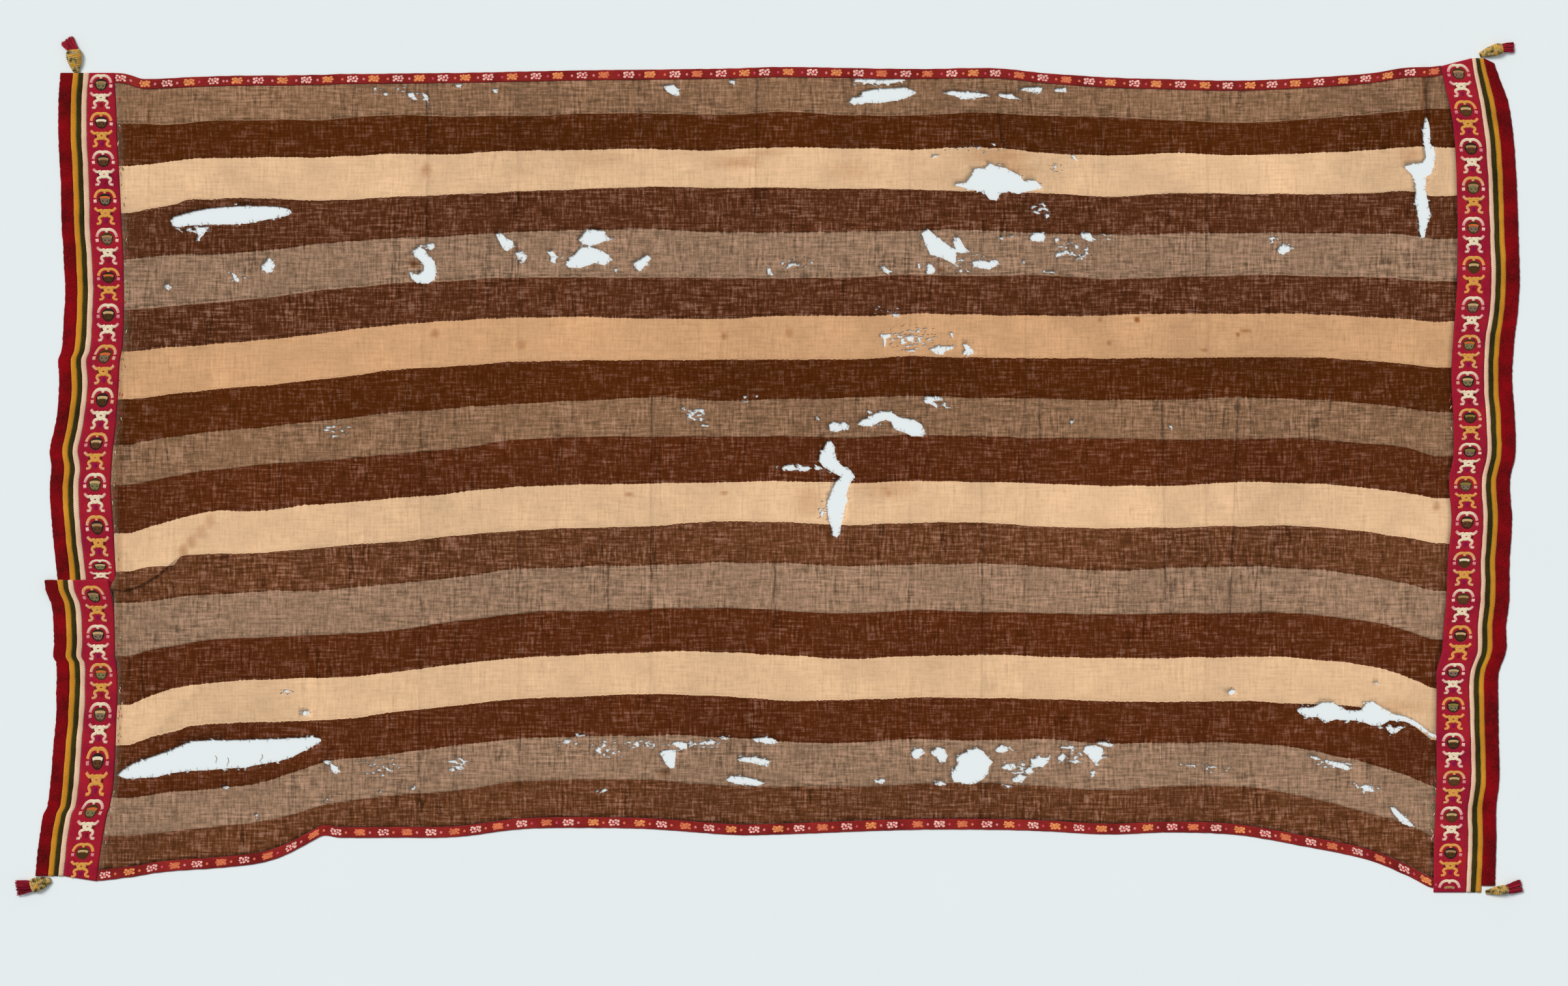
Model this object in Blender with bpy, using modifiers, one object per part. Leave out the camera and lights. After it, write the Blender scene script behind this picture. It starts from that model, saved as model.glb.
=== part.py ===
"""A woven mantle lying flat on its underside, with its long side along X.

The striped ground cloth is one thin sheet with the tears that age has left in it.  A narrow
tape finishes its top and bottom edges.  Each end carries a border of five narrow cloths laid
side by side: a figured band, a white, a dark and a yellow stripe, and a red edging.  A tassel
sits at each corner.  The left border is folded back on itself once, below its middle.

Units are metres and +Z is up.  The origin is on the surface under the middle of the whole.
Plan sizes are in millimetres from a corner datum: across to the right, and down the cloth.
"""

import math
from collections import namedtuple

import bmesh
import bpy
from mathutils import Vector

MM = 0.001

# The middle of the whole, from the datum corner.
MIDDLE_ACROSS = 1181.2
MIDDLE_DOWN = 714.7

# Thickness of each cloth, and the clearance that pieces sewn edge to edge keep.
GROUND_THICK = 1.2
TAPE_THICK = 1.6
BAND_THICK = 1.8
EDGING_THICK = 2.2
CORDED_THICK = 2.4
GAP = 0.4

# Widths of the border's narrow cloths, counted outwards from the figured band.
WHITE_WIDTH = 8.5
DARK_WIDTH = 6.5
YELLOW_WIDTH = 9.5
EDGING_WIDTH = 20.0
TAPE_WIDTH = 14.0

# The ground cloth's stations lie between these places across, and about this far apart, with
# more of them beside a crease and none closer to it than a clear space.
GROUND_LEFT = 178.0
GROUND_RIGHT = 2216.0
PLAIN_COLUMN = 60.0
PLAIN_ROW = 52.0
CREASE_SIDE = 9.0
CLEAR_SPACE = 20.0
BORDER_STEP = 36.0

# How far the ground cloth reaches past the seams before it is trimmed, the trimming shapes'
# reach past its ends, and the reach and the welding distance of every cutting shape.
TRIM = 8.0
SPARE = 40.0
CUTTER_REACH = 20.0
WELD = 0.05

# The cloth's long edges, with the tapes: how far down each lies at a station across.
LongEdge = namedtuple("LongEdge", "across top bottom")
LONG_EDGES = [
    LongEdge(150, 111, 1353),
    LongEdge(190, 113, 1348),
    LongEdge(240, 121, 1340),
    LongEdge(330, 117, 1333),
    LongEdge(400, 116, 1325),
    LongEdge(440, 116, 1312),
    LongEdge(480, 115, 1291),
    LongEdge(520, 114, 1286),
    LongEdge(700, 112, 1285),
    LongEdge(800, 110, 1273),
    LongEdge(1000, 107, 1273),
    LongEdge(1130, 105, 1282),
    LongEdge(1200, 103, 1281),
    LongEdge(1400, 106, 1274),
    LongEdge(1600, 112, 1276),
    LongEdge(1700, 119, 1281),
    LongEdge(1800, 122, 1278),
    LongEdge(1900, 124, 1282),
    LongEdge(2000, 120, 1299),
    LongEdge(2100, 113, 1320),
    LongEdge(2160, 104, 1344),
    LongEdge(2205, 102, 1366),
    LongEdge(2250, 89, 1371),
]

# A border at a station down the cloth: where its band meets the ground cloth, and its spine,
# which is the line where the band meets the white stripe.
Border = namedtuple("Border", "down seam spine")
LEFT_ABOVE_FOLD = [
    Border(112, 176.0, 136.5),
    Border(160, 178.5, 133.5),
    Border(220, 181.0, 134.0),
    Border(280, 184.0, 137.0),
    Border(340, 187.0, 138.5),
    Border(400, 190.0, 142.0),
    Border(440, 190.5, 143.5),
    Border(500, 190.5, 141.5),
    Border(538, 188.0, 138.5),
    Border(552, 184.5, 133.5),
    Border(590, 182.5, 135.0),
    Border(650, 178.5, 129.0),
    Border(692, 173.5, 120.5),
    Border(720, 171.5, 123.0),
    Border(750, 170.5, 120.5),
    Border(810, 174.5, 124.0),
    Border(860, 177.0, 129.0),
    Border(906, 180.0, 134.0),
]
LEFT_BELOW_FOLD = [
    Border(890, 167.5, 113.5),
    Border(906, 171.0, 115.5),
    Border(930, 175.0, 124.0),
    Border(990, 177.0, 126.5),
    Border(1009, 177.0, 125.5),
    Border(1018, 179.5, 130.5),
    Border(1060, 181.0, 131.0),
    Border(1110, 179.0, 129.0),
    Border(1140, 178.0, 126.0),
    Border(1200, 175.0, 121.5),
    Border(1238, 169.0, 117.0),
    Border(1250, 165.0, 110.5),
    Border(1300, 155.5, 102.5),
    Border(1345, 149.0, 98.0),
]
RIGHT_BORDER = [
    Border(89.5, 2213.0, 2260.0),
    Border(113, 2216.5, 2264.0),
    Border(160, 2226.0, 2273.0),
    Border(200, 2232.0, 2279.0),
    Border(250, 2236.0, 2284.0),
    Border(340, 2238.0, 2287.5),
    Border(430, 2237.5, 2290.0),
    Border(480, 2234.5, 2287.5),
    Border(520, 2231.5, 2281.5),
    Border(580, 2228.5, 2278.5),
    Border(640, 2231.5, 2282.0),
    Border(700, 2231.5, 2283.0),
    Border(738, 2225.0, 2275.5),
    Border(800, 2229.0, 2278.0),
    Border(860, 2223.0, 2274.5),
    Border(920, 2221.0, 2274.0),
    Border(960, 2217.0, 2269.5),
    Border(1000, 2214.0, 2269.0),
    Border(1030, 2206.0, 2258.5),
    Border(1060, 2206.0, 2256.5),
    Border(1150, 2205.5, 2258.5),
    Border(1200, 2206.0, 2259.0),
    Border(1240, 2204.5, 2254.5),
    Border(1300, 2202.0, 2254.5),
    Border(1370, 2201.0, 2251.5),
]

# The bands' ends slant: how much lower their seam side starts on the right, and ends on the
# left, and over what length the slant dies out.  The right edging stops short at its tassel.
RIGHT_LEAD = 12.0
LEFT_TRAIL = 8.0
LEAD_LENGTH = 90.0
RIGHT_EDGING_END = 1360.0

# The left border's fold: its layers' pitch, and where it turns.
FOLD_PITCH = 2.9
FOLD_LOW_TURN = 905.0
FOLD_HIGH_TURN = 891.0
FOLD_BEND = 1.5
FOLD_RUN_OUT = 34.0

# Soft ridges of the ground cloth: old folds, a raised pleat and the creases beside the fold.
Ridge = namedtuple("Ridge", "from_across from_down to_across to_down half height")
RIDGES = [
    Ridge(229, 120, 226, 860, 11, 1.2),
    Ridge(648, 110, 644, 1285, 10, 1.5),
    Ridge(795, 110, 797, 1275, 10, 1.5),
    Ridge(1395, 105, 1398, 1275, 10, 1.5),
    Ridge(1575, 110, 1572, 1275, 10, 1.5),
    Ridge(1853, 122, 1850, 1280, 10, 1.5),
    Ridge(2189, 96, 2190, 176, 10, 5.0),
    Ridge(170, 890, 276, 860, 20, 5.0),
    Ridge(421, 939, 332, 1032, 26, 2.5),
    Ridge(332, 1032, 223, 1133, 26, 2.5),
]
CREASE_COLUMNS = [229, 646, 796, 1396, 1574, 1852, 2189]
FINE_COLUMNS = [194, 212, 250, 272, 300]
FINE_ROWS = [850, 864, 878, 892, 906]

# The tears: each follows a spine of stations with the half width there, which is measured down
# the cloth, or across it where the tear is upright.
Tear = namedtuple("Tear", "name upright spine")
Stop = namedtuple("Stop", "across down half")
TEARS = [
    Tear("tan_1_long", False, [(1311, 157, 1), (1331, 149.5, 8.5), (1362, 148.5, 8.5),
                               (1380, 147, 8), (1393, 143.5, 6.5), (1399, 141, 1)]),
    Tear("tan_1_small", False, [(1025, 138, 1), (1032, 138.5, 5.5), (1040, 139.5, 1)]),
    Tear("tan_1_low", False, [(1463, 147, 1), (1483, 147, 3), (1503, 147.5, 1)]),
    Tear("tan_1_high", False, [(1346, 125, 1), (1356, 125.5, 3), (1367, 126.5, 1)]),
    Tear("star", False, [(1482, 283, 1), (1489, 282, 5), (1505, 277.5, 12.5), (1522, 282.5, 22.5),
                         (1538, 278.5, 14.5), (1554, 281.5, 13.5), (1571, 287.5, 6.5),
                         (1587, 288.5, 5.5), (1594, 289, 1)]),
    Tear("right_tear", True, [(2190, 178, 1), (2189, 205, 3), (2193, 228, 7), (2192, 250, 10),
                              (2186, 268, 10), (2180, 290, 6.5), (2180, 304, 6),
                              (2185, 329, 7), (2185, 355, 3.5), (2184, 364, 1)]),
    Tear("right_tear_arm", False, [(2156, 255, 1), (2170, 257, 5), (2188, 260, 7)]),
    Tear("left_slit", False, [(259, 342, 1), (274, 340, 7), (301, 336.5, 9), (328, 333, 11),
                              (354, 332, 11), (381, 330.5, 10.5), (408, 328.5, 8.5),
                              (435, 327, 6), (447, 326, 1)]),
    Tear("tan_5_a", False, [(887, 372, 1), (892, 371.5, 4), (909, 367, 8), (920, 366, 5),
                            (931, 366, 1)]),
    Tear("tan_5_b", False, [(1411, 362, 1), (1417, 365.5, 6.5), (1436, 380, 13),
                            (1456, 391, 12), (1473, 383, 5.5), (1480, 382, 1)]),
    Tear("tan_5_c", False, [(1579, 367, 1), (1586, 365.5, 4.5), (1594, 364, 1)]),
    Tear("tan_5_d", False, [(768, 373, 1), (775, 375, 7.5), (783, 379, 1)]),
    Tear("tan_5_e", False, [(1961, 379, 1), (1968, 384, 7), (1976, 384, 1)]),
    Tear("tan_5_f", False, [(868, 406, 1), (876, 405, 5), (894, 396.5, 12.5),
                            (914, 397, 11), (931, 400.5, 4), (939, 400, 1)]),
    Tear("tan_5_hook", True, [(643, 376, 1), (647, 385, 5), (655, 397, 6), (660.5, 408, 7.5),
                              (658, 420, 8), (649, 431, 9), (646, 436, 2)]),
    Tear("tan_5_g", False, [(972, 404, 1), (982, 404, 8), (993, 404, 1)]),
    Tear("tan_5_h", False, [(1495, 405.5, 1), (1503, 406, 4.5), (1513, 407, 1)]),
    Tear("tan_5_i", False, [(406, 409, 1), (412, 409.5, 7), (419, 409, 1)]),
    Tear("tan_5_j", False, [(1424, 415, 1), (1429.5, 415, 6), (1435, 414, 1)]),
    Tear("cream_7", False, [(1435, 537, 1), (1444, 536.5, 3), (1453, 536.5, 1)]),
    Tear("tan_9_arch", False, [(1320, 652, 1), (1327, 648.5, 4), (1343, 644.5, 7.5),
                               (1360, 639, 5), (1376, 646.5, 7.5), (1393, 655, 9),
                               (1409, 659.5, 5.5), (1417, 661, 1)]),
    Tear("tan_9_small", False, [(1273, 656, 1), (1285, 656.5, 5), (1299, 656, 1)]),
    Tear("centre_upper", True, [(1270, 680, 2), (1272, 690, 6), (1271, 708, 11),
                                (1279, 719, 9), (1281, 726, 2)]),
    Tear("centre_arm", False, [(1228, 718, 1), (1250, 716, 4), (1270, 715, 8)]),
    Tear("centre_link", False, [(1272, 717, 7), (1288, 722, 5), (1306, 730, 5)]),
    Tear("centre_lower", True, [(1302, 724, 5), (1299, 740, 8.5), (1290, 752, 9.5),
                                (1283.5, 773, 9.5), (1281, 795, 8.5), (1283, 816, 6),
                                (1284, 825, 1)]),
    Tear("right_slit", False, [(1992, 1089, 1), (2004, 1090, 4), (2029, 1091, 12),
                               (2055, 1093.5, 8.5), (2081, 1098.5, 6.5), (2107, 1095, 14),
                               (2133, 1100, 6), (2159, 1104, 4.5), (2172, 1111, 3.5),
                               (2185, 1116, 1)]),
    Tear("great_slit", False, [(180, 1191, 1), (197, 1185.5, 7.5), (243, 1174.5, 13),
                               (290, 1164, 18.5), (336, 1158.5, 21), (382, 1155.5, 17),
                               (429, 1150, 13.5), (475, 1139.5, 7), (495, 1135, 1)]),
    Tear("tan_17_a", False, [(1661, 1154, 1), (1668, 1153, 4), (1679, 1156, 11),
                             (1691, 1160, 2.5), (1698, 1160, 1)]),
    Tear("tan_17_b", False, [(1529, 1151, 1), (1536, 1150.5, 5), (1544, 1151, 1)]),
    Tear("tan_17_round", False, [(1459, 1188, 3), (1466, 1187, 9), (1478, 1179, 19),
                                 (1489, 1177.5, 23), (1502, 1177, 19), (1513, 1176, 11),
                                 (1520, 1176, 3)]),
    Tear("tan_17_c", False, [(1432, 1159, 1), (1443, 1159.5, 6.5), (1455, 1156, 1)]),
    Tear("tan_17_d", False, [(1016, 1159, 1), (1022, 1160, 6), (1028, 1163, 9),
                             (1037, 1164, 1)]),
    Tear("tan_17_e", False, [(1584, 1165, 1), (1597, 1169, 6), (1610, 1167, 1)]),
    Tear("tan_17_f", False, [(1151, 1168, 1), (1162, 1168.5, 5), (1174, 1169, 1)]),
    Tear("tan_17_g", False, [(1117, 1196, 1), (1138, 1198, 4.5), (1161, 1198.5, 1)]),
]

# The tassels: where each leaves its border, where its wrapped head ends and where its tuft ends.
Tassel = namedtuple("Tassel", "corner root waist tip head_width tuft_width")
TASSELS = [
    Tassel("top_left", (117.6, 110.7), (113.0, 77.0), (101.5, 60.5), 25.0, 22.0),
    Tassel("top_right", (2272.0, 84.3), (2307.0, 74.0), (2325.0, 72.5), 19.0, 17.0),
    Tassel("bottom_left", (78.0, 1351.4), (48.0, 1360.4), (24.5, 1362.9), 23.0, 24.0),
    Tassel("bottom_right", (2281.0, 1370.0), (2316.0, 1364.5), (2337.0, 1359.5), 15.0, 19.0),
]
HEAD_HEIGHT = 11.0
TUFT_HEIGHT = 8.0
TUFT_NECK = 0.7
TUFT_BACKING = 3.0
LOCK_COLUMNS = 5
LOCK_ROWS = 2
LOCK_PARTING = 0.35
LOCK_TAPER = 0.75

# How wide and how high a wrapped head is along its length, as shares of its greatest size.
HeadSection = namedtuple("HeadSection", "width height")
HEAD_SECTIONS = [
    HeadSection(0.50, 0.30),
    HeadSection(0.75, 0.75),
    HeadSection(1.00, 1.00),
    HeadSection(0.95, 0.95),
    HeadSection(0.70, 0.80),
]
HEAD_FLAT = 0.62


def clear_scene():
    """Empties the scene of the objects that it starts with."""
    for obj in list(bpy.data.objects):
        bpy.data.objects.remove(obj, do_unlink=True)


def place(across, down, height=0.0):
    """The world point of a plan point, in metres."""
    return Vector(((across - MIDDLE_ACROSS) * MM, (MIDDLE_DOWN - down) * MM, height * MM))


def follow(stations, values, at):
    """A smooth curve's value at a station, level beyond the first and last."""
    if at <= stations[0]:
        return values[0]
    if at >= stations[-1]:
        return values[-1]
    last = len(stations) - 1
    i = max(k for k in range(last) if stations[k] <= at)
    before = max(i - 1, 0)
    after = min(i + 2, last)
    span = stations[i + 1] - stations[i]
    t = (at - stations[i]) / span
    slope_here = (values[i + 1] - values[before]) / (stations[i + 1] - stations[before]) * span
    slope_next = (values[after] - values[i]) / (stations[after] - stations[i]) * span
    return (
        (2 * t**3 - 3 * t**2 + 1) * values[i]
        + (t**3 - 2 * t**2 + t) * slope_here
        + (3 * t**2 - 2 * t**3) * values[i + 1]
        + (t**3 - t**2) * slope_next
    )


def column(table, name):
    """One named column of a table, as a list."""
    return [getattr(row, name) for row in table]


def long_edge(across, name):
    """How far down the top or the bottom edge lies."""
    return follow(column(LONG_EDGES, "across"), column(LONG_EDGES, name), across)


def border_at(table, down):
    """The seam and the spine of a border at a station down the cloth."""
    downs = column(table, "down")
    seam = follow(downs, column(table, "seam"), down)
    spine = follow(downs, column(table, "spine"), down)
    return Border(down, seam, spine)


def left_seam(down):
    """Where the ground cloth meets the left band, above or below the fold."""
    middle = (FOLD_LOW_TURN + FOLD_HIGH_TURN) / 2
    table = LEFT_ABOVE_FOLD if down < middle else LEFT_BELOW_FOLD
    return border_at(table, down).seam


def right_seam(down):
    """Where the ground cloth meets the right band."""
    return border_at(RIGHT_BORDER, down).seam


def ridge_height(across, down):
    """How far the ridges lift the ground cloth at a plan point, in millimetres."""
    lift = 0.0
    for ridge in RIDGES:
        run = Vector((ridge.to_across - ridge.from_across, ridge.to_down - ridge.from_down))
        offset = Vector((across - ridge.from_across, down - ridge.from_down))
        share = min(max(offset.dot(run) / run.length_squared, 0.0), 1.0)
        away = (offset - run * share).length / ridge.half
        if away < 1.0:
            lift = max(lift, ridge.height * (1 - away**2) ** 2)
    return lift


def material(name, colour, roughness):
    """A plain yarn finish."""
    finish = bpy.data.materials.new(name)
    finish.use_nodes = True
    shader = finish.node_tree.nodes["Principled BSDF"]
    shader.inputs["Base Color"].default_value = (*colour, 1.0)
    shader.inputs["Roughness"].default_value = roughness
    shader.inputs["Metallic"].default_value = 0.0
    return finish


def add_object(name, bm, finish, collection):
    """Makes a named object of a mesh under construction, with its faces pointing out."""
    bmesh.ops.recalc_face_normals(bm, faces=bm.faces)
    if bm.calc_volume(signed=True) < 0:
        bmesh.ops.reverse_faces(bm, faces=bm.faces)
    mesh = bpy.data.meshes.new(name)
    bm.to_mesh(mesh)
    bm.free()
    obj = bpy.data.objects.new(name, mesh)
    if finish:
        mesh.materials.append(finish)
    collection.objects.link(obj)
    return obj


def thicken(obj, thickness):
    """Gives an open sheet its thickness, half to each side."""
    solid = obj.modifiers.new("thickness", "SOLIDIFY")
    solid.thickness = thickness * MM
    solid.offset = 0.0
    solid.use_even_offset = True


def sheet(name, columns, rows, point, thickness, finish, collection):
    """An open grid whose points are worked out from their column and row, made a solid.

    point gives a plan point with the height of the sheet's underside.
    """
    bm = bmesh.new()
    bmesh.ops.create_grid(bm, x_segments=columns, y_segments=rows, size=0.5)
    for vert in bm.verts:
        i = round((vert.co.x + 0.5) * columns)
        j = round((0.5 - vert.co.y) * rows)
        across, down, height = point(i, j)
        vert.co = place(across, down, height + thickness / 2)
    obj = add_object(name, bm, finish, collection)
    thicken(obj, thickness)
    return obj


def spread(low, high, step, extra):
    """Stations from low to high about a step apart, with extra ones kept clear of the rest."""
    count = round((high - low) / step)
    plain = [low + (high - low) * k / count for k in range(count + 1)]
    inner = [s for s in plain[1:-1] if all(abs(s - e) > CLEAR_SPACE for e in extra)]
    return sorted([low, high] + inner + [e for e in extra if low < e < high])


def ground_columns():
    """The nominal places across of the ground cloth's columns."""
    creases = [c + side for c in CREASE_COLUMNS for side in (-CREASE_SIDE, 0, CREASE_SIDE)]
    return spread(GROUND_LEFT, GROUND_RIGHT, PLAIN_COLUMN, creases + FINE_COLUMNS)


def across_at(nominal, down):
    """The true place across of a nominal column, between the seams of its height.

    The outer columns reach past the seams, where the cloth is then trimmed.
    """
    share = (nominal - GROUND_LEFT) / (GROUND_RIGHT - GROUND_LEFT)
    left = left_seam(down) - TRIM
    right = right_seam(down) + TRIM
    return left + (right - left) * share


def cut_with(obj, name, cutters):
    """Cuts every piece of a collection out of a solid."""
    cut = obj.modifiers.new(name, "BOOLEAN")
    cut.operation = "DIFFERENCE"
    cut.solver = "EXACT"
    cut.operand_type = "COLLECTION"
    cut.collection = cutters


def make_ground(finish, collection, seams, tears):
    """The striped ground cloth with its tears, trimmed where it meets the borders."""
    columns = ground_columns()
    inset = TAPE_WIDTH + GAP
    mean_top = long_edge(GROUND_LEFT, "top") + inset
    mean_bottom = long_edge(MIDDLE_ACROSS, "bottom") - inset
    rows = spread(mean_top, mean_bottom, PLAIN_ROW, FINE_ROWS)
    shares = [(row - mean_top) / (mean_bottom - mean_top) for row in rows]

    def point(i, j):
        top = long_edge(columns[i], "top") + inset
        bottom = long_edge(columns[i], "bottom") - inset
        down = top + (bottom - top) * shares[j]
        across = across_at(columns[i], down)
        return across, down, ridge_height(across, down)

    ground = sheet("ground_cloth", len(columns) - 1, len(rows) - 1, point, GROUND_THICK,
                   finish, collection)
    cut_with(ground, "seams", seams)
    cut_with(ground, "tears", tears)


def make_tape(name, edge, sign, finish, collection, seams):
    """A narrow tape along the top or the bottom edge; sign points into the cloth."""
    columns = ground_columns()

    def point(i, j):
        down = long_edge(columns[i], edge) + sign * TAPE_WIDTH * j
        across = across_at(columns[i], down)
        return across, down, ridge_height(across, down)

    tape = sheet(name, len(columns) - 1, 1, point, TAPE_THICK, finish, collection)
    cut_with(tape, "seams", seams)


def tear_outline(tear):
    """The plan points round a tear, out along one side of its spine and back along the other."""
    spine = [Stop(*stop) for stop in tear.spine]
    one_side = []
    other_side = []
    for stop in spine:
        shift = Vector((stop.half, 0.0)) if tear.upright else Vector((0.0, stop.half))
        middle = Vector((stop.across, stop.down))
        one_side.append(middle - shift)
        other_side.append(middle + shift)
    return one_side + other_side[::-1]


def seam_line(path, outward):
    """The plan points of the line where a border's band meets the ground cloth."""
    points = []
    for border, height in path:
        down = border.down + slant(outward, border)
        if points and down <= points[-1].y:
            continue
        points.append(Vector((border.seam - outward * GAP / 2, down)))
    return points


def seam_outline(path, outward):
    """The plan outline that trims the ground cloth and the tapes back to a border."""
    line = seam_line(path, outward)
    far = line[0].x + outward * SPARE
    start = line[0] - Vector((0.0, SPARE))
    end = line[-1] + Vector((0.0, SPARE))
    return [Vector((far, start.y)), start] + line + [end, Vector((far, end.y))]


def make_cutter(name, points, collection):
    """An upright prism on a plan outline, which cuts through the cloth."""
    curve = bpy.data.curves.new(name, "CURVE")
    curve.dimensions = "2D"
    curve.fill_mode = "BOTH"
    curve.extrude = CUTTER_REACH * MM
    spline = curve.splines.new("POLY")
    spline.points.add(len(points) - 1)
    for vertex, plan in zip(spline.points, points):
        vertex.co = (*place(plan.x, plan.y).to_2d(), 0.0, 1.0)
    spline.use_cyclic_u = True
    guide = bpy.data.objects.new(name, curve)
    collection.objects.link(guide)
    evaluated = guide.evaluated_get(bpy.context.evaluated_depsgraph_get())
    mesh = bpy.data.meshes.new_from_object(evaluated)
    bm = bmesh.new()
    bm.from_mesh(mesh)
    bmesh.ops.remove_doubles(bm, verts=bm.verts, dist=WELD * MM)
    bpy.data.objects.remove(guide, do_unlink=True)
    cutter = add_object(name, bm, None, collection)
    cutter.hide_render = True
    cutter.display_type = "WIRE"


def border_steps(low, high):
    """Stations down a border about a step apart."""
    count = round((high - low) / BORDER_STEP)
    return [low + (high - low) * k / count for k in range(count + 1)]


def left_path():
    """Stations down the left border through its fold: border and height of the layer."""
    above = border_steps(LEFT_ABOVE_FOLD[0].down, FOLD_HIGH_TURN - BORDER_STEP / 2)
    below = border_steps(FOLD_LOW_TURN + FOLD_RUN_OUT, LEFT_BELOW_FOLD[-1].down)
    path = [(border_at(LEFT_ABOVE_FOLD, down), 0.0) for down in above]
    under = border_at(LEFT_ABOVE_FOLD, FOLD_LOW_TURN)
    over = border_at(LEFT_BELOW_FOLD, FOLD_HIGH_TURN)
    path.append((border_at(LEFT_ABOVE_FOLD, FOLD_HIGH_TURN), 0.0))
    path.append((under._replace(down=FOLD_LOW_TURN - FOLD_BEND), 0.0))
    path.append((under, 0.5 * FOLD_PITCH))
    path.append((under._replace(down=FOLD_LOW_TURN - FOLD_BEND), FOLD_PITCH))
    path.append((over._replace(down=FOLD_HIGH_TURN + FOLD_BEND), FOLD_PITCH))
    path.append((over, 1.5 * FOLD_PITCH))
    path.append((over._replace(down=FOLD_HIGH_TURN + FOLD_BEND), 2.0 * FOLD_PITCH))
    path.append((border_at(LEFT_BELOW_FOLD, FOLD_LOW_TURN), 2.0 * FOLD_PITCH))
    path.append((border_at(LEFT_BELOW_FOLD, FOLD_LOW_TURN + 0.5 * FOLD_RUN_OUT), FOLD_PITCH))
    path += [(border_at(LEFT_BELOW_FOLD, down), 0.0) for down in below]
    return path


def right_path():
    """Stations down the right border, which lies flat."""
    downs = border_steps(RIGHT_BORDER[0].down, RIGHT_BORDER[-1].down)
    return [(border_at(RIGHT_BORDER, down), 0.0) for down in downs]


def slant(outward, border):
    """How far a band's slant end moves its seam side down, fading along the border."""
    if outward > 0:
        share = 1 - (border.down - RIGHT_BORDER[0].down) / LEAD_LENGTH
        return RIGHT_LEAD * max(share, 0.0)
    share = 1 - (LEFT_BELOW_FOLD[-1].down - border.down) / LEAD_LENGTH
    return LEFT_TRAIL * max(share, 0.0)


def upward(path, j):
    """The direction of a folded path's upper side at one station, in down and height."""
    before = path[max(j - 1, 0)]
    after = path[min(j + 1, len(path) - 1)]
    run = Vector((after[0].down - before[0].down, after[1] - before[1]))
    return Vector((-run.y, run.x)).normalized()


def ribbon(name, path, edge, thickness, finish, collection):
    """A narrow cloth that follows a folded path, as a solid with its underside on that path.

    edge gives the place across and down of its near and far edge at a station.
    """
    rows = len(path) - 1
    bm = bmesh.new()
    bmesh.ops.create_grid(bm, x_segments=1, y_segments=rows, size=0.5)
    bmesh.ops.extrude_face_region(bm, geom=list(bm.faces), use_keep_orig=True)
    seen = set()
    for vert in bm.verts:
        i = round(vert.co.x + 0.5)
        j = round((0.5 - vert.co.y) * rows)
        side = 0.5 if (i, j) in seen else -0.5
        seen.add((i, j))
        across, down = edge(i, j)
        offset = upward(path, j) * side * thickness
        vert.co = place(across, down + offset.x, path[j][1] + thickness / 2 + offset.y)
    add_object(name, bm, finish, collection)


def make_border(side, path, outward, finishes, collection):
    """The five narrow cloths of one border; outward is -1 on the left and 1 on the right."""
    widths = (
        ("white_stripe", WHITE_WIDTH, CORDED_THICK),
        ("dark_stripe", DARK_WIDTH, BAND_THICK),
        ("yellow_stripe", YELLOW_WIDTH, CORDED_THICK),
        ("red_edging", EDGING_WIDTH, EDGING_THICK),
    )

    def band_edge(i, j):
        border = path[j][0]
        seam = border.seam + outward * GAP / 2
        spine = border.spine - outward * GAP / 2
        return (spine, border.down) if i else (seam, border.down + slant(outward, border))

    ribbon(f"{side}_figured_band", path, band_edge, BAND_THICK, finishes["figured_band"],
           collection)

    inner = 0.0
    for name, width, thick in widths:
        near = inner + GAP / 2
        far = inner + width - GAP / 2

        def strip_edge(i, j, near=near, far=far):
            border = path[j][0]
            away = far if i else near
            return border.spine + outward * away, border.down

        if outward > 0 and name == "red_edging":
            path = path[:-1] + [(border_at(RIGHT_BORDER, RIGHT_EDGING_END), 0.0)]
        ribbon(f"{side}_{name}", path, strip_edge, thick, finishes[name], collection)
        inner += width


def make_head(tassel, finish, collection):
    """The yarn-wrapped head of a tassel, which lies on the surface on a flattened side."""
    root = Vector(tassel.root)
    waist = Vector(tassel.waist)
    run = waist - root
    side = Vector((-run.y, run.x)).normalized()
    sections = len(HEAD_SECTIONS) - 1
    bm = bmesh.new()
    bmesh.ops.create_cube(bm, size=2.0)
    bmesh.ops.subdivide_edges(bm, edges=bm.edges, cuts=sections - 1, use_grid_fill=True)
    for vert in bm.verts:
        x, y, z = vert.co
        section = HEAD_SECTIONS[round((x + 1) / 2 * sections)]
        round_y = y * math.sqrt(1 - z * z / 2)
        round_z = max(z * math.sqrt(1 - y * y / 2), -HEAD_FLAT)
        plan = root + run * (x + 1) / 2 + side * round_y * section.width * tassel.head_width / 2
        height = (round_z + HEAD_FLAT) / (1 + HEAD_FLAT) * section.height * HEAD_HEIGHT
        vert.co = place(plan.x, plan.y, height)
    return add_object(f"tassel_head_{tassel.corner}", bm, finish, collection)


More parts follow.
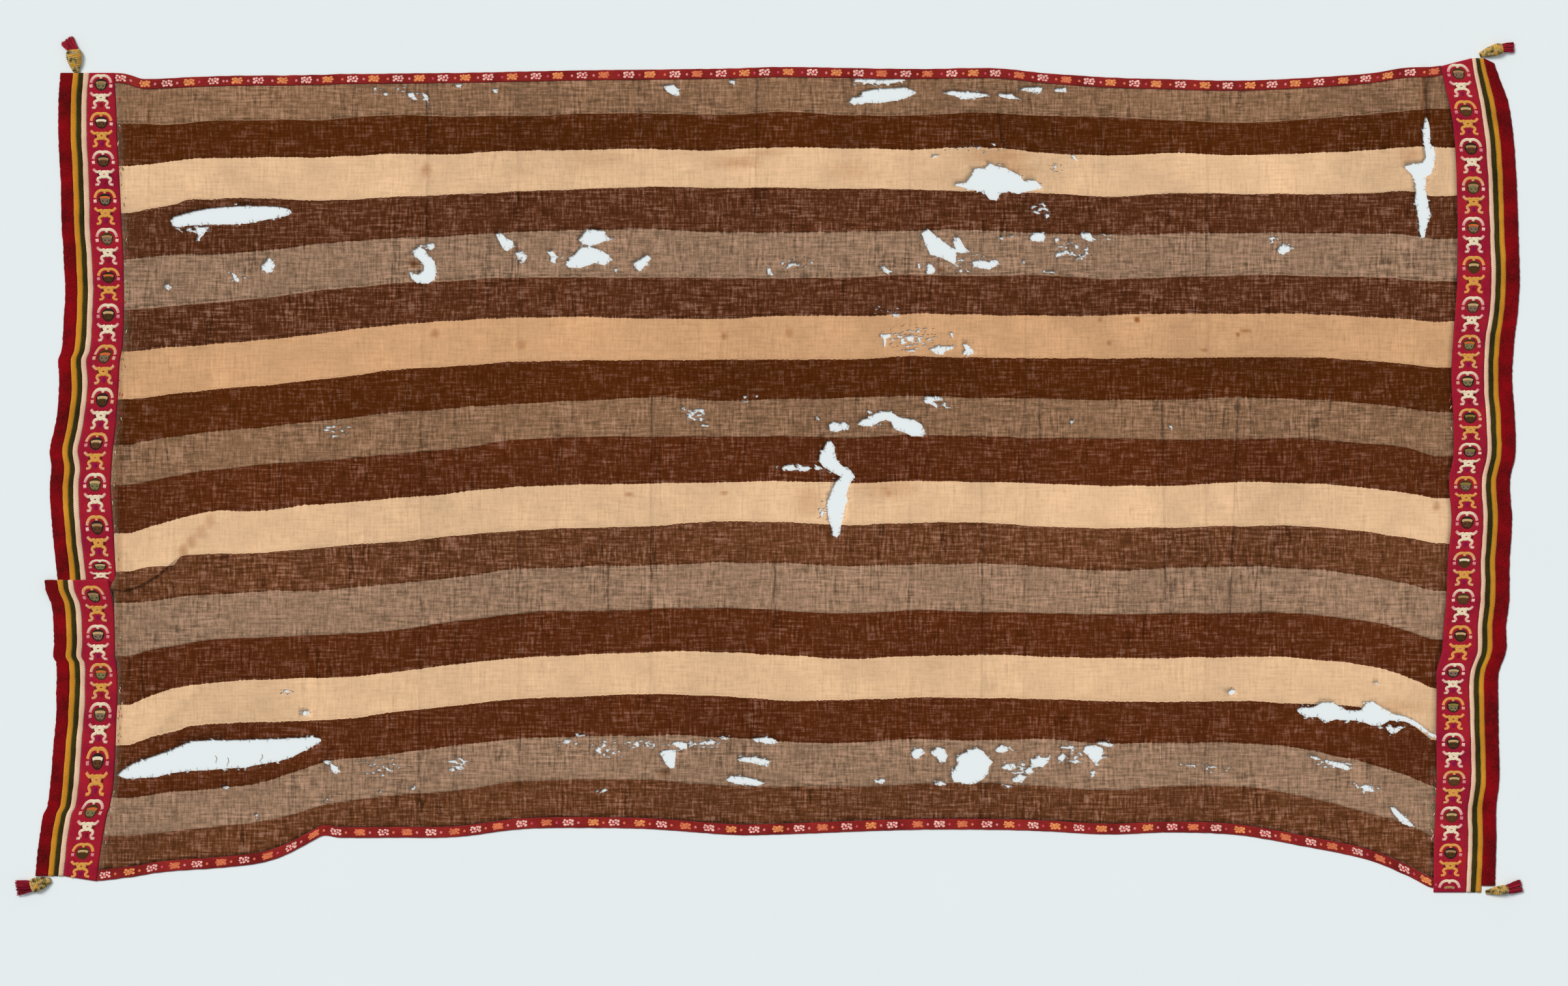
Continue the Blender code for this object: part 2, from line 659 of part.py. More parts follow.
def make_tuft(tassel, finish, collection):
    """The cut locks at a tassel's end, fused at their roots into a thin backing."""
    waist = Vector(tassel.waist)
    tip = Vector(tassel.tip)
    along = (tip - waist).normalized()
    bend = abs(along.cross((waist - Vector(tassel.root)).normalized()))
    start = waist + along * (GAP + bend * TUFT_NECK * tassel.tuft_width / 2)
    side = Vector((-along.y, along.x))
    length = (tip - start).length
    bm = bmesh.new()
    bmesh.ops.create_grid(bm, x_segments=LOCK_COLUMNS, y_segments=LOCK_ROWS, size=0.5)
    front = list(bm.faces)
    for vert in bm.verts:
        across = vert.co.x * TUFT_NECK * tassel.tuft_width
        vert.co = Vector((0.0, across, (vert.co.y + 0.5) * TUFT_HEIGHT))
    grown = bmesh.ops.extrude_face_region(bm, geom=front, use_keep_orig=True)
    front = [f for f in grown["geom"] if isinstance(f, bmesh.types.BMFace)]
    moved = {v for f in front for v in f.verts}
    for vert in moved:
        vert.co.x += TUFT_BACKING
    bmesh.ops.recalc_face_normals(bm, faces=bm.faces)
    bmesh.ops.inset_individual(bm, faces=front, thickness=LOCK_PARTING, use_even_offset=True)
    locks = bmesh.ops.extrude_discrete_faces(bm, faces=front)["faces"]
    for face in locks:
        middle = face.calc_center_median()
        for vert in face.verts:
            tapered = middle + (vert.co - middle) * LOCK_TAPER
            vert.co = Vector((length, tapered.y / TUFT_NECK, max(tapered.z - LOCK_PARTING, 0.0)))
    for vert in bm.verts:
        plan = start + along * vert.co.x + side * vert.co.y
        vert.co = place(plan.x, plan.y, vert.co.z)
    return add_object(f"tassel_tuft_{tassel.corner}", bm, finish, collection)


def build_mantle():
    """Makes every piece of the mantle."""
    clear_scene()
    mantle = bpy.data.collections.new("woven_mantle")
    seams = bpy.data.collections.new("seam_cutters")
    tears = bpy.data.collections.new("tear_cutters")
    for collection in (mantle, seams, tears):
        bpy.context.scene.collection.children.link(collection)

    brown_ground = material("striped_ground_wool", (0.20, 0.11, 0.055), 0.9)
    red_tape = material("red_tape_wool", (0.23, 0.02, 0.02), 0.85)
    yellow_yarn = material("yellow_tassel_yarn", (0.46, 0.27, 0.04), 0.85)
    red_yarn = material("red_tassel_yarn", (0.30, 0.01, 0.03), 0.85)
    finishes = {
        "figured_band": material("crimson_band_wool", (0.33, 0.01, 0.035), 0.85),
        "white_stripe": material("white_stripe_cotton", (0.74, 0.55, 0.38), 0.85),
        "dark_stripe": material("dark_stripe_wool", (0.015, 0.014, 0.01), 0.85),
        "yellow_stripe": material("yellow_stripe_wool", (0.55, 0.26, 0.02), 0.85),
        "red_edging": material("deep_red_edging_wool", (0.15, 0.002, 0.004), 0.9),
    }

    make_cutter("left_seam", seam_outline(left_path(), -1), seams)
    make_cutter("right_seam", seam_outline(right_path(), 1), seams)
    for tear in TEARS:
        make_cutter(tear.name, tear_outline(tear), tears)
    make_ground(brown_ground, mantle, seams, tears)
    make_tape("top_tape", "top", 1, red_tape, mantle, seams)
    make_tape("bottom_tape", "bottom", -1, red_tape, mantle, seams)
    make_border("left", left_path(), -1, finishes, mantle)
    make_border("right", right_path(), 1, finishes, mantle)
    for tassel in TASSELS:
        make_head(tassel, yellow_yarn, mantle)
        make_tuft(tassel, red_yarn, mantle)


build_mantle()
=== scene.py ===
"""A worn striped mantle laid flat on a pale floor, as an add-on that builds it piece by piece.

Plan sizes are in millimetres from a corner datum: across to the right, and down the cloth.
Heights are in millimetres above the floor.  Everything is placed in metres in the frame of the
solid model, whose origin lies on the floor under the middle of the whole.
"""

import math
import random
from collections import namedtuple

import bmesh
import bpy
import numpy as np
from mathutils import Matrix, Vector, kdtree, noise
from mathutils.geometry import delaunay_2d_cdt


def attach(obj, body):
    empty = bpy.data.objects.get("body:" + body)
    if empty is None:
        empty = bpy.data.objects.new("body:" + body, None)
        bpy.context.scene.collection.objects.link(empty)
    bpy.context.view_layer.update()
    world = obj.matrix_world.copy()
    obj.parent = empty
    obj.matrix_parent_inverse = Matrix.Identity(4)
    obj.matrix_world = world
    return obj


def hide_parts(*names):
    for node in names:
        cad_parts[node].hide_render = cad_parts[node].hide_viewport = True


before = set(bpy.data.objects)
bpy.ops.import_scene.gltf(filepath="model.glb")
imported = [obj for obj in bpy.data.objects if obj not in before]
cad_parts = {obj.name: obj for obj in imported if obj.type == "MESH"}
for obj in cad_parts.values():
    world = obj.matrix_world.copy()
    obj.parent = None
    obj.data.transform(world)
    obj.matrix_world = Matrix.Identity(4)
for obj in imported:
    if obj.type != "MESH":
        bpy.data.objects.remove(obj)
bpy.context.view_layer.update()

bl_info = {
    "name": "Woven Mantle",
    "version": (1, 0, 0),
    "blender": (4, 5, 0),
    "location": "3D View > Sidebar > Mantle",
    "description": "Builds a worn striped mantle with figured borders and corner tassels",
    "category": "Add Mesh",
}

MM = 0.001
PHOTO_WIDTH = 2408

# The middle of the whole, from the datum corner, and the middle of the photographed field.
MIDDLE_ACROSS = 1181.2
MIDDLE_DOWN = 714.7
FIELD_ACROSS = 1204.0
FIELD_DOWN = 757.0

# Thickness of each cloth and the clearance at its seams.
GROUND_THICK = 0.9
TAPE_THICK = 1.5
BAND_THICK = 1.7
EDGING_THICK = 2.2
CORDED_THICK = 2.4
GAP = 0.4
TAPE_WIDTHS = {"top": 15.5, "bottom": 16.5}

# The cloth's long edges, with the tapes: how far down each lies at a station across.
LongEdge = namedtuple("LongEdge", "across top bottom")
LONG_EDGES = [LongEdge(*row) for row in (
    (150, 111, 1353), (190, 113, 1348), (205, 117, 1346), (218, 121, 1344), (240, 121, 1340),
    (285, 119, 1336), (330, 117, 1333), (400, 116, 1325), (440, 116, 1312), (480, 115, 1291),
    (497, 115, 1283), (520, 114, 1286), (610, 113, 1286), (700, 112, 1285), (800, 110, 1273),
    (900, 108, 1271), (1000, 107, 1273), (1130, 105, 1282), (1200, 103, 1281), (1400, 106, 1274),
    (1530, 105, 1274), (1600, 112, 1276), (1700, 119, 1281), (1800, 122, 1278), (1900, 124, 1282),
    (2000, 120, 1299), (2100, 113, 1320), (2160, 104, 1344), (2205, 102, 1366), (2250, 89, 1371),
)]

# A border at a station down the cloth: where its band meets the ground cloth, and its spine,
# which is the line where the band meets the white stripe.
Border = namedtuple("Border", "down seam spine")
LEFT_ABOVE_FOLD = [Border(*row) for row in (
    (112, 176.0, 136.5), (160, 178.5, 133.5), (220, 181.0, 134.0), (280, 184.0, 137.0),
    (340, 187.0, 138.5), (400, 190.0, 142.0), (440, 190.5, 143.5), (500, 190.5, 141.5),
    (538, 188.0, 138.5), (552, 184.5, 133.5), (590, 182.5, 135.0), (650, 178.5, 129.0),
    (692, 173.5, 120.5), (720, 171.5, 123.0), (750, 170.5, 120.5), (810, 174.5, 124.0),
    (860, 177.0, 129.0), (906, 180.0, 134.0),
)]
LEFT_BELOW_FOLD = [Border(*row) for row in (
    (890, 167.5, 113.5), (906, 171.0, 115.5), (930, 175.0, 124.0), (990, 177.0, 126.5),
    (1009, 177.0, 125.5), (1018, 179.5, 130.5), (1060, 181.0, 131.0), (1110, 179.0, 129.0),
    (1140, 178.0, 126.0), (1200, 175.0, 121.5), (1238, 169.0, 117.0), (1250, 165.0, 110.5),
    (1300, 155.5, 102.5), (1345, 149.0, 98.0),
)]
RIGHT_BORDER = [Border(*row) for row in (
    (89.5, 2213.0, 2260.0), (113, 2216.5, 2264.0), (160, 2226.0, 2273.0), (200, 2232.0, 2279.0),
    (250, 2236.0, 2284.0), (340, 2238.0, 2287.5), (430, 2237.5, 2290.0), (480, 2234.5, 2287.5),
    (520, 2231.5, 2281.5), (580, 2228.5, 2278.5), (640, 2231.5, 2282.0), (700, 2231.5, 2283.0),
    (738, 2225.0, 2275.5), (800, 2229.0, 2278.0), (860, 2223.0, 2274.5), (920, 2221.0, 2274.0),
    (960, 2217.0, 2269.5), (1000, 2214.0, 2269.0), (1030, 2206.0, 2258.5), (1060, 2206.0, 2256.5),
    (1150, 2205.5, 2258.5), (1200, 2206.0, 2259.0), (1240, 2204.5, 2254.5), (1300, 2202.0, 2254.5),
    (1370, 2201.0, 2251.5),
)]

# How far the right band slants at its top end and the left band at its bottom end, and over what
# length of the border the slant fades.
RIGHT_LEAD = 12.0
LEFT_TRAIL = 8.0
LEAD_LENGTH = 90.0

# Where the right edging ends, how far its top end slants, and by what share the stripes and the
# edging are narrower there, which fades over a length.
RIGHT_EDGING_END = 1360.0
EDGING_LEAD = 8.0
RIGHT_TAPER = 0.2
TAPER_LENGTH = 60.0

# The left border's fold: how far apart its layers lie, where the cloth turns under and back, how
# far each turn reaches, and over what length the top layer runs down to the floor.
FOLD_PITCH = 2.9
FOLD_LOW_TURN = 905.0
FOLD_HIGH_TURN = 891.0
FOLD_BEND = 1.5
FOLD_RUN_OUT = 34.0

# Beside the fold the ground cloth's seam shifts from the upper border's line to the lower's.
SEAM_SHIFT_FROM = 886.0
SEAM_SHIFT_LENGTH = 16.0

# The ground cloth's stripes from the top down, each with its yarn, and how far down the line
# between each and the next lies at a station across.
STRIPE_YARNS = [
    "tan", "rust", "light_cream", "brown", "light_tan", "brown", "cream", "rust", "tan",
    "chestnut", "light_cream", "faded", "light_tan", "chestnut", "light_cream", "chestnut",
    "light_tan", "faded",
]
StripeLines = namedtuple("StripeLines", "across downs")
STRIPE_LINES = [StripeLines(*row) for row in (
    (200, (186, 253, 324, 398, 472, 536, 612, 683, 745, 815, 876, 924, 1007, 1079, 1140, 1223, 1282)),
    (230, (188, 250, 319, 394, 470, 533, 608, 676, 738, 806, 868, 921, 998, 1066, 1129, 1219, 1279)),
    (260, (189, 246, 314, 391, 467, 531, 603, 670, 732, 797, 867, 917, 993, 1055, 1120, 1214, 1276)),
    (268, (188, 245, 312, 391, 466, 530, 602, 669, 731, 795, 864, 916, 992, 1053, 1118, 1213, 1275)),
    (276, (188, 244, 310, 390, 465, 530, 601, 668, 730, 793, 853, 915, 990, 1052, 1116, 1213, 1274)),
    (285, (187, 242, 306, 390, 464, 529, 600, 667, 728, 790, 850, 914, 988, 1050, 1112, 1212, 1273)),
    (330, (182, 240, 304, 390, 461, 525, 596, 662, 721, 781, 848, 911, 981, 1044, 1106, 1209, 1269)),
    (400, (182, 240, 302, 385, 454, 519, 590, 655, 714, 781, 847, 907, 978, 1039, 1104, 1199, 1261)),
    (450, (181, 239, 305, 379, 448, 514, 585, 650, 710, 775, 842, 906, 976, 1038, 1103, 1184, 1250)),
    (500, (181, 239, 306, 373, 441, 508, 580, 645, 707, 770, 837, 905, 974, 1037, 1103, 1168, 1235)),
    (600, (174, 234, 302, 366, 433, 496, 567, 633, 698, 762, 830, 895, 968, 1029, 1092, 1156, 1221)),
    (700, (176, 234, 297, 361, 427, 489, 560, 626, 689, 753, 820, 885, 954, 1016, 1080, 1143, 1213)),
    (800, (175, 229, 293, 355, 423, 484, 553, 619, 675, 743, 812, 872, 941, 1006, 1070, 1133, 1198)),
    (1000, (171, 227, 286, 351, 422, 486, 551, 610, 670, 739, 805, 867, 935, 997, 1063, 1127, 1197)),
    (1100, (174, 228, 287, 356, 423, 487, 551, 614, 671, 737, 798, 862, 933, 996, 1066, 1129, 1204)),
    (1200, (169, 224, 287, 356, 424, 482, 550, 612, 670, 736, 799, 863, 937, 1002, 1072, 1136, 1207)),
    (1300, (174, 225, 288, 356, 423, 482, 550, 610, 672, 738, 804, 868, 941, 1007, 1072, 1138, 1207)),
    (1400, (175, 228, 290, 353, 419, 479, 545, 607, 668, 736, 800, 865, 937, 1003, 1068, 1134, 1203)),
    (1500, (170, 223, 292, 354, 420, 480, 547, 610, 670, 736, 800, 864, 939, 1001, 1069, 1134, 1201)),
    (1600, (175, 232, 295, 358, 419, 481, 549, 611, 673, 739, 806, 868, 941, 1004, 1070, 1133, 1206)),
    (1700, (177, 236, 301, 360, 425, 481, 548, 613, 673, 742, 808, 875, 943, 1006, 1073, 1139, 1213)),
    (1800, (182, 233, 295, 359, 422, 479, 547, 614, 675, 742, 808, 870, 942, 1006, 1074, 1139, 1206)),
    (1900, (186, 236, 297, 357, 419, 479, 546, 610, 674, 737, 805, 869, 940, 1004, 1073, 1138, 1207)),
    (2000, (181, 233, 297, 357, 420, 479, 546, 613, 674, 738, 806, 871, 942, 1007, 1077, 1147, 1221)),
    (2100, (173, 229, 295, 358, 422, 483, 552, 619, 681, 746, 814, 883, 954, 1018, 1084, 1170, 1247)),
    (2160, (167, 224, 291, 360, 426, 487, 558, 626, 687, 753, 823, 895, 968, 1035, 1105, 1188, 1265)),
    (2200, (164, 223, 299, 366, 429, 491, 562, 631, 700, 761, 831, 905, 982, 1052, 1132, 1206, 1283)),
)]

# Old folds that still show as creases, and the soft ridges beside the left fold; the last column is how
# strongly painted shade darkens each crease.
Crease = namedtuple("Crease", "from_across from_down to_across to_down half height dirt")
CREASES = [Crease(*row) for row in (
    (229, 120, 226, 860, 9, 0.5, 0.4), (657, 110, 655, 420, 8, 0.8, 1.7),
    (648, 420, 644, 1285, 9, 0.6, 0.8), (795, 110, 797, 1275, 9, 0.6, 0.6),
    (981, 108, 983, 300, 8, 0.6, 1.1), (1163, 105, 1160, 330, 8, 0.7, 1.7),
    (933, 865, 934, 950, 8, 0.5, 1.7), (1001, 600, 998, 1075, 8, 0.5, 1.5),
    (1190, 860, 1188, 960, 8, 0.5, 1.7), (1395, 105, 1398, 1275, 9, 0.6, 0.6),
    (1507, 735, 1508, 1070, 8, 0.5, 1.5), (1532, 170, 1540, 230, 8, 0.7, 1.9),
    (1596, 600, 1598, 680, 8, 0.5, 1.7), (1575, 300, 1572, 1275, 9, 0.6, 0.8),
    (1784, 600, 1790, 940, 8, 0.6, 1.7), (1853, 122, 1850, 1280, 9, 0.7, 0.8),
    (1902, 600, 1888, 940, 8, 0.6, 1.7), (1936, 865, 1936, 950, 8, 0.5, 1.3),
    (2189, 96, 2190, 176, 9, 4.0, 2.5), (421, 939, 332, 1032, 24, 1.8, 0.0),
    (332, 1032, 223, 1133, 24, 1.8, 0.0),
)]

# Marks that darken the cloth, by place, radii and strength: stains, a narrow darker strip along the left
# seam (the first), and the painted shadow of the pleat at the top right (the one at 2186, 138).
Stain = namedtuple("Stain", "across down wide high strength")
STAINS_AND_SHADOWS = [Stain(*row) for row in (
    (184, 720, 7, 640, 0.35), (228, 190, 9, 60, 0.25), (282, 846, 9, 14, 0.60), (295, 832, 11, 14, 0.55),
    (309, 817, 11, 14, 0.50), (323, 800, 11, 14, 0.45), (2186, 138, 4, 50, 0.90),
    (1130, 250, 50, 12, 0.40), (1180, 235, 40, 8, 0.35), (1530, 240, 60, 20, 0.45),
    (1560, 262, 40, 12, 0.40), (1300, 262, 44, 20, 0.25), (920, 245, 60, 18, 0.20),
    (2165, 240, 26, 20, 0.35), (1240, 770, 26, 30, 0.30), (1360, 750, 60, 20, 0.30),
    (636, 405, 10, 8, 0.80), (1445, 414, 9, 6, 0.80), (1020, 1187, 12, 10, 0.60),
    (2150, 1085, 60, 14, 0.30), (1913, 508, 11, 5, 0.80), (1901, 514, 4, 5, 0.80),
    (1746, 491, 6, 6, 0.90), (1689, 491, 5, 5, 0.80), (1703, 527, 5, 5, 0.90), (1849, 538, 8, 4, 0.90),
    (668, 512, 9, 10, 0.50), (801, 530, 10, 9, 0.50), (1112, 516, 6, 8, 0.60), (1212, 511, 8, 10, 0.50),
    (966, 759, 9, 5, 0.70), (1112, 757, 8, 5, 0.70), (1365, 757, 9, 8, 0.50), (2206, 777, 7, 9, 0.60),
    (655, 262, 12, 14, 0.50),
)]

# The holes, slits and tears of the ground cloth: each outline's corners in plan.
TEARS = [
    [(633, 384), (643, 378), (652, 383), (659, 394), (667, 401), (670, 415), (667, 430), (657, 436),
     (641, 434), (631, 428), (628, 418), (641, 421), (649, 415), (650, 407), (643, 398), (635, 393)],
    [(654, 375), (666, 373), (668, 380), (660, 385), (656, 380)],
    [(760, 359), (770, 358), (777, 365), (788, 371), (789, 379), (779, 386), (772, 382), (767, 372)],
    [(790, 388), (802, 385), (810, 393), (806, 401), (795, 396)],
    [(839, 386), (849, 385), (855, 393), (852, 404), (844, 402), (846, 394)],
    [(888, 368), (898, 355), (910, 352), (924, 354), (934, 364), (945, 366), (927, 371), (910, 378),
     (896, 375)],
    [(867, 405), (879, 394), (891, 380), (904, 378), (924, 384), (941, 398), (929, 408), (913, 404),
     (891, 412), (874, 411)],
    [(942, 412), (949, 412), (946, 420)],
    [(971, 404), (982, 398), (993, 391), (1000, 397), (991, 408), (982, 417), (974, 409)],
    [(625, 143), (633, 141), (637, 147), (633, 151), (627, 148)],
    [(647, 145), (654, 144), (658, 149), (657, 166), (656, 166), (655, 153)],
    [(573, 134), (578, 133), (578, 139), (574, 139)],
    [(588, 142), (594, 142), (593, 147), (589, 147)],
    [(698, 129), (709, 129), (707, 135), (702, 134)],
    [(756, 136), (765, 137), (763, 143), (758, 142)],
    [(1018, 132), (1033, 129), (1042, 137), (1044, 147), (1036, 147), (1024, 141)],
    [(1118, 123), (1129, 123), (1128, 131), (1122, 127)],
    [(1309, 125), (1313, 121), (1352, 122), (1388, 121), (1391, 124), (1363, 129), (1324, 127)],
    [(1302, 156), (1309, 150), (1320, 148), (1324, 140), (1341, 137), (1369, 135), (1391, 134),
     (1404, 139), (1407, 143), (1394, 149), (1380, 154), (1349, 159), (1333, 158), (1311, 161)],
    [(1177, 412), (1181, 410), (1184, 415), (1186, 421), (1179, 422)],
    [(1206, 413), (1210, 405), (1219, 403), (1227, 408), (1216, 408), (1211, 412)],
    [(1352, 409), (1357, 408), (1367, 416), (1364, 421), (1357, 417)],
    [(1446, 143), (1461, 139), (1483, 141), (1503, 142), (1519, 145), (1506, 150), (1478, 152),
     (1464, 147)],
    [(1531, 144), (1550, 144), (1570, 153), (1551, 152), (1536, 149)],
    [(1565, 138), (1572, 134), (1601, 134), (1599, 142), (1581, 141)],
    [(1618, 137), (1636, 134), (1638, 142), (1620, 141)],
    [(1465, 282), (1483, 279), (1492, 268), (1496, 258), (1511, 258), (1519, 250), (1529, 254),
     (1544, 257), (1556, 264), (1567, 269), (1572, 278), (1589, 276), (1601, 287), (1594, 291),
     (1578, 294), (1564, 298), (1550, 294), (1536, 297), (1531, 308), (1519, 306), (1511, 296),
     (1492, 291), (1469, 286)],
    [(1603, 330), (1609, 328), (1612, 332), (1607, 336)],
    [(1414, 357), (1425, 351), (1436, 361), (1449, 371), (1460, 379), (1467, 382), (1463, 371),
     (1465, 364), (1473, 364), (1481, 379), (1491, 387), (1478, 389), (1469, 387), (1467, 407),
     (1456, 401), (1442, 394), (1428, 391), (1421, 376), (1417, 365)],
    [(1424, 403), (1431, 406), (1437, 414), (1433, 421), (1422, 421)],
    [(1472, 414), (1476, 412), (1478, 417), (1473, 419)],
    [(1408, 404), (1412, 404), (1413, 412), (1409, 412)],
    [(1492, 401), (1506, 399), (1519, 402), (1526, 398), (1533, 400), (1531, 408), (1519, 414),
     (1503, 412), (1494, 408)],
    [(1580, 365), (1586, 357), (1601, 357), (1606, 365), (1603, 371), (1592, 371), (1584, 369)],
    [(1618, 366), (1624, 364), (1627, 369), (1621, 373)],
    [(1619, 396), (1622, 388), (1636, 386), (1645, 388), (1629, 393)],
    [(1649, 398), (1658, 394), (1669, 388), (1667, 393), (1654, 399)],
    [(1659, 358), (1674, 357), (1677, 364), (1684, 368), (1673, 371), (1662, 366)],
    [(1600, 417), (1619, 416), (1618, 419), (1603, 419)],
    [(1535, 365), (1540, 363), (1540, 368), (1536, 368)],
    [(1550, 362), (1555, 360), (1556, 364), (1552, 365)],
    [(1569, 399), (1573, 399), (1573, 404), (1569, 404)],
    [(1644, 238), (1648, 237), (1655, 246), (1652, 247)],
    [(1316, 651), (1324, 644), (1336, 640), (1344, 634), (1356, 631), (1366, 632), (1374, 636),
     (1380, 640), (1392, 642), (1404, 645), (1414, 650), (1420, 660), (1418, 670), (1400, 670),
     (1388, 664), (1378, 661), (1372, 657), (1368, 648), (1360, 645), (1352, 647), (1346, 651),
     (1338, 655), (1324, 654)],
    [(1272, 652), (1280, 647), (1288, 650), (1296, 648), (1304, 653), (1302, 659), (1294, 660),
     (1286, 663), (1274, 662)],
    [(1269, 678), (1276, 676), (1281, 684), (1283, 696), (1286, 708), (1294, 716), (1302, 717),
     (1308, 724), (1313, 732), (1308, 739), (1303, 748), (1300, 760), (1302, 770), (1298, 776),
     (1295, 796), (1291, 808), (1291, 818), (1285, 825), (1278, 822), (1277, 812), (1273, 802),
     (1270, 790), (1270, 770), (1275, 756), (1282, 740), (1291, 732), (1284, 728), (1276, 724),
     (1266, 718), (1260, 712), (1257, 706), (1258, 698), (1264, 690)],
    [(1200, 718), (1208, 714), (1218, 712), (1221, 718), (1212, 722), (1202, 720)],
    [(1227, 718), (1240, 716), (1247, 719), (1236, 724), (1229, 722)],
    [(1251, 714), (1260, 716), (1264, 720), (1254, 722)],
    [(1418, 615), (1422, 608), (1434, 609), (1446, 611), (1448, 615), (1433, 616), (1441, 624),
     (1438, 626), (1428, 620), (1421, 619)],
    [(1252, 640), (1254, 638), (1258, 644), (1254, 646)],
    [(1330, 631), (1333, 629), (1340, 634), (1336, 636)],
    [(1991, 1091), (1998, 1085), (2010, 1086), (2020, 1083), (2028, 1078), (2046, 1078), (2056, 1084),
     (2068, 1090), (2080, 1092), (2090, 1089), (2096, 1080), (2106, 1076), (2118, 1083), (2130, 1090),
     (2140, 1096), (2156, 1099), (2170, 1105), (2182, 1113), (2194, 1123), (2206, 1129), (2206, 1134),
     (2196, 1130), (2184, 1122), (2172, 1114), (2158, 1108), (2146, 1107), (2134, 1106), (2126, 1111),
     (2118, 1115), (2106, 1114), (2092, 1108), (2080, 1106), (2064, 1106), (2052, 1105), (2044, 1107),
     (2030, 1107), (2022, 1101), (2006, 1102), (1998, 1097)],
    [(2127, 1116), (2134, 1113), (2140, 1118), (2150, 1114), (2155, 1117), (2144, 1125), (2137, 1127),
     (2130, 1121)],
    [(2010, 1160), (2020, 1161), (2030, 1166), (2022, 1167), (2012, 1163)],
    [(2033, 1166), (2048, 1169), (2062, 1171), (2076, 1180), (2068, 1183), (2054, 1178), (2036, 1172)],
    [(2079, 1202), (2084, 1204), (2088, 1210), (2082, 1209)],
    [(2090, 1206), (2100, 1204), (2109, 1210), (2108, 1216), (2100, 1215), (2093, 1212)],
    [(2133, 1238), (2140, 1239), (2150, 1248), (2162, 1258), (2172, 1269), (2164, 1269), (2152, 1262),
     (2143, 1254), (2137, 1245)],
    [(1398, 1156), (1404, 1150), (1413, 1148), (1421, 1155), (1415, 1160), (1407, 1166), (1401, 1162)],
    [(1429, 1153), (1439, 1148), (1450, 1149), (1455, 1160), (1452, 1170), (1443, 1171), (1438, 1163),
     (1431, 1158)],
    [(1467, 1165), (1476, 1157), (1489, 1152), (1500, 1148), (1510, 1153), (1516, 1162), (1525, 1170),
     (1519, 1177), (1518, 1187), (1510, 1196), (1500, 1202), (1487, 1205), (1476, 1201), (1464, 1201),
     (1460, 1190), (1465, 1180), (1470, 1172)],
    [(1527, 1151), (1537, 1143), (1546, 1146), (1548, 1153), (1540, 1156), (1530, 1155)],
    [(1536, 1178), (1545, 1174), (1558, 1174), (1562, 1179), (1552, 1183), (1542, 1181)],
    [(1553, 1196), (1565, 1188), (1577, 1192), (1569, 1202), (1558, 1201)],
    [(1572, 1183), (1580, 1177), (1588, 1185), (1580, 1190)],
    [(1582, 1167), (1595, 1162), (1604, 1163), (1613, 1160), (1610, 1170), (1602, 1178), (1591, 1177),
     (1584, 1173)],
    [(1623, 1163), (1631, 1155), (1638, 1161), (1632, 1168), (1625, 1167)],
    [(1642, 1155), (1646, 1148), (1651, 1149), (1646, 1158)],
    [(1662, 1153), (1667, 1145), (1680, 1143), (1693, 1148), (1696, 1156), (1691, 1161), (1703, 1161),
     (1691, 1165), (1683, 1173), (1677, 1169), (1670, 1160)],
    [(1682, 1140), (1693, 1138), (1711, 1143), (1706, 1147), (1693, 1145)],
    [(1433, 1204), (1443, 1198), (1451, 1203), (1445, 1207)],
    [(1540, 1204), (1547, 1205), (1557, 1208), (1548, 1209)],
    [(1673, 1185), (1679, 1182), (1684, 1186), (1678, 1190)],
    [(1012, 1156), (1022, 1151), (1038, 1150), (1038, 1156), (1036, 1179), (1029, 1180), (1021, 1172),
     (1016, 1162)],
    [(1031, 1140), (1042, 1138), (1055, 1141), (1055, 1150), (1046, 1150), (1037, 1146)],
    [(1057, 1138), (1063, 1142), (1059, 1147)],
    [(1081, 1140), (1090, 1136), (1102, 1139), (1092, 1142), (1084, 1143)],
    [(1103, 1131), (1119, 1132), (1118, 1136), (1108, 1135)],
    [(1154, 1134), (1170, 1132), (1186, 1133), (1196, 1140), (1184, 1143), (1170, 1140), (1160, 1138)],
    [(1131, 1165), (1142, 1162), (1160, 1162), (1182, 1168), (1181, 1175), (1168, 1175), (1152, 1171),
     (1136, 1169)],
    [(1114, 1197), (1122, 1191), (1140, 1192), (1158, 1196), (1175, 1202), (1164, 1207), (1146, 1205),
     (1130, 1204)],
    [(990, 1144), (993, 1142), (997, 1146), (993, 1148)],
    [(262, 338), (268, 332), (283, 328), (298, 324), (318, 320), (343, 318), (373, 316), (407, 316),
     (432, 318), (445, 321), (448, 327), (443, 331), (423, 335), (407, 338), (382, 343), (357, 345),
     (323, 345), (298, 346), (273, 349), (264, 347)],
    [(290, 354), (300, 353), (301, 349), (313, 348), (322, 348), (316, 355), (313, 361), (308, 365),
     (307, 370), (302, 370), (304, 362), (302, 358)],
    [(400, 415), (402, 407), (408, 402), (412, 394), (420, 402), (423, 408), (418, 418), (410, 419),
     (405, 415)],
    [(355, 418), (360, 420), (367, 429), (365, 434), (360, 430)],
    [(251, 437), (258, 436), (264, 441), (260, 446), (254, 443)],
    [(2189, 178), (2194, 188), (2196, 200), (2196, 220), (2202, 226), (2204, 240), (2202, 256),
     (2198, 266), (2190, 272), (2189, 290), (2192, 306), (2195, 322), (2198, 332), (2193, 340),
     (2190, 352), (2188, 365), (2182, 365), (2179, 352), (2178, 340), (2176, 326), (2172, 308),
     (2174, 294), (2172, 276), (2166, 266), (2157, 258), (2156, 254), (2166, 252), (2184, 249),
     (2189, 240), (2187, 224), (2184, 210), (2185, 196), (2187, 184)],
    [(179, 1190), (191, 1180), (204, 1172), (222, 1165.5), (241, 1159), (262, 1152), (280, 1143),
     (300, 1137.5), (326, 1136), (357, 1136), (404, 1135), (451, 1133), (479, 1131), (493, 1134),
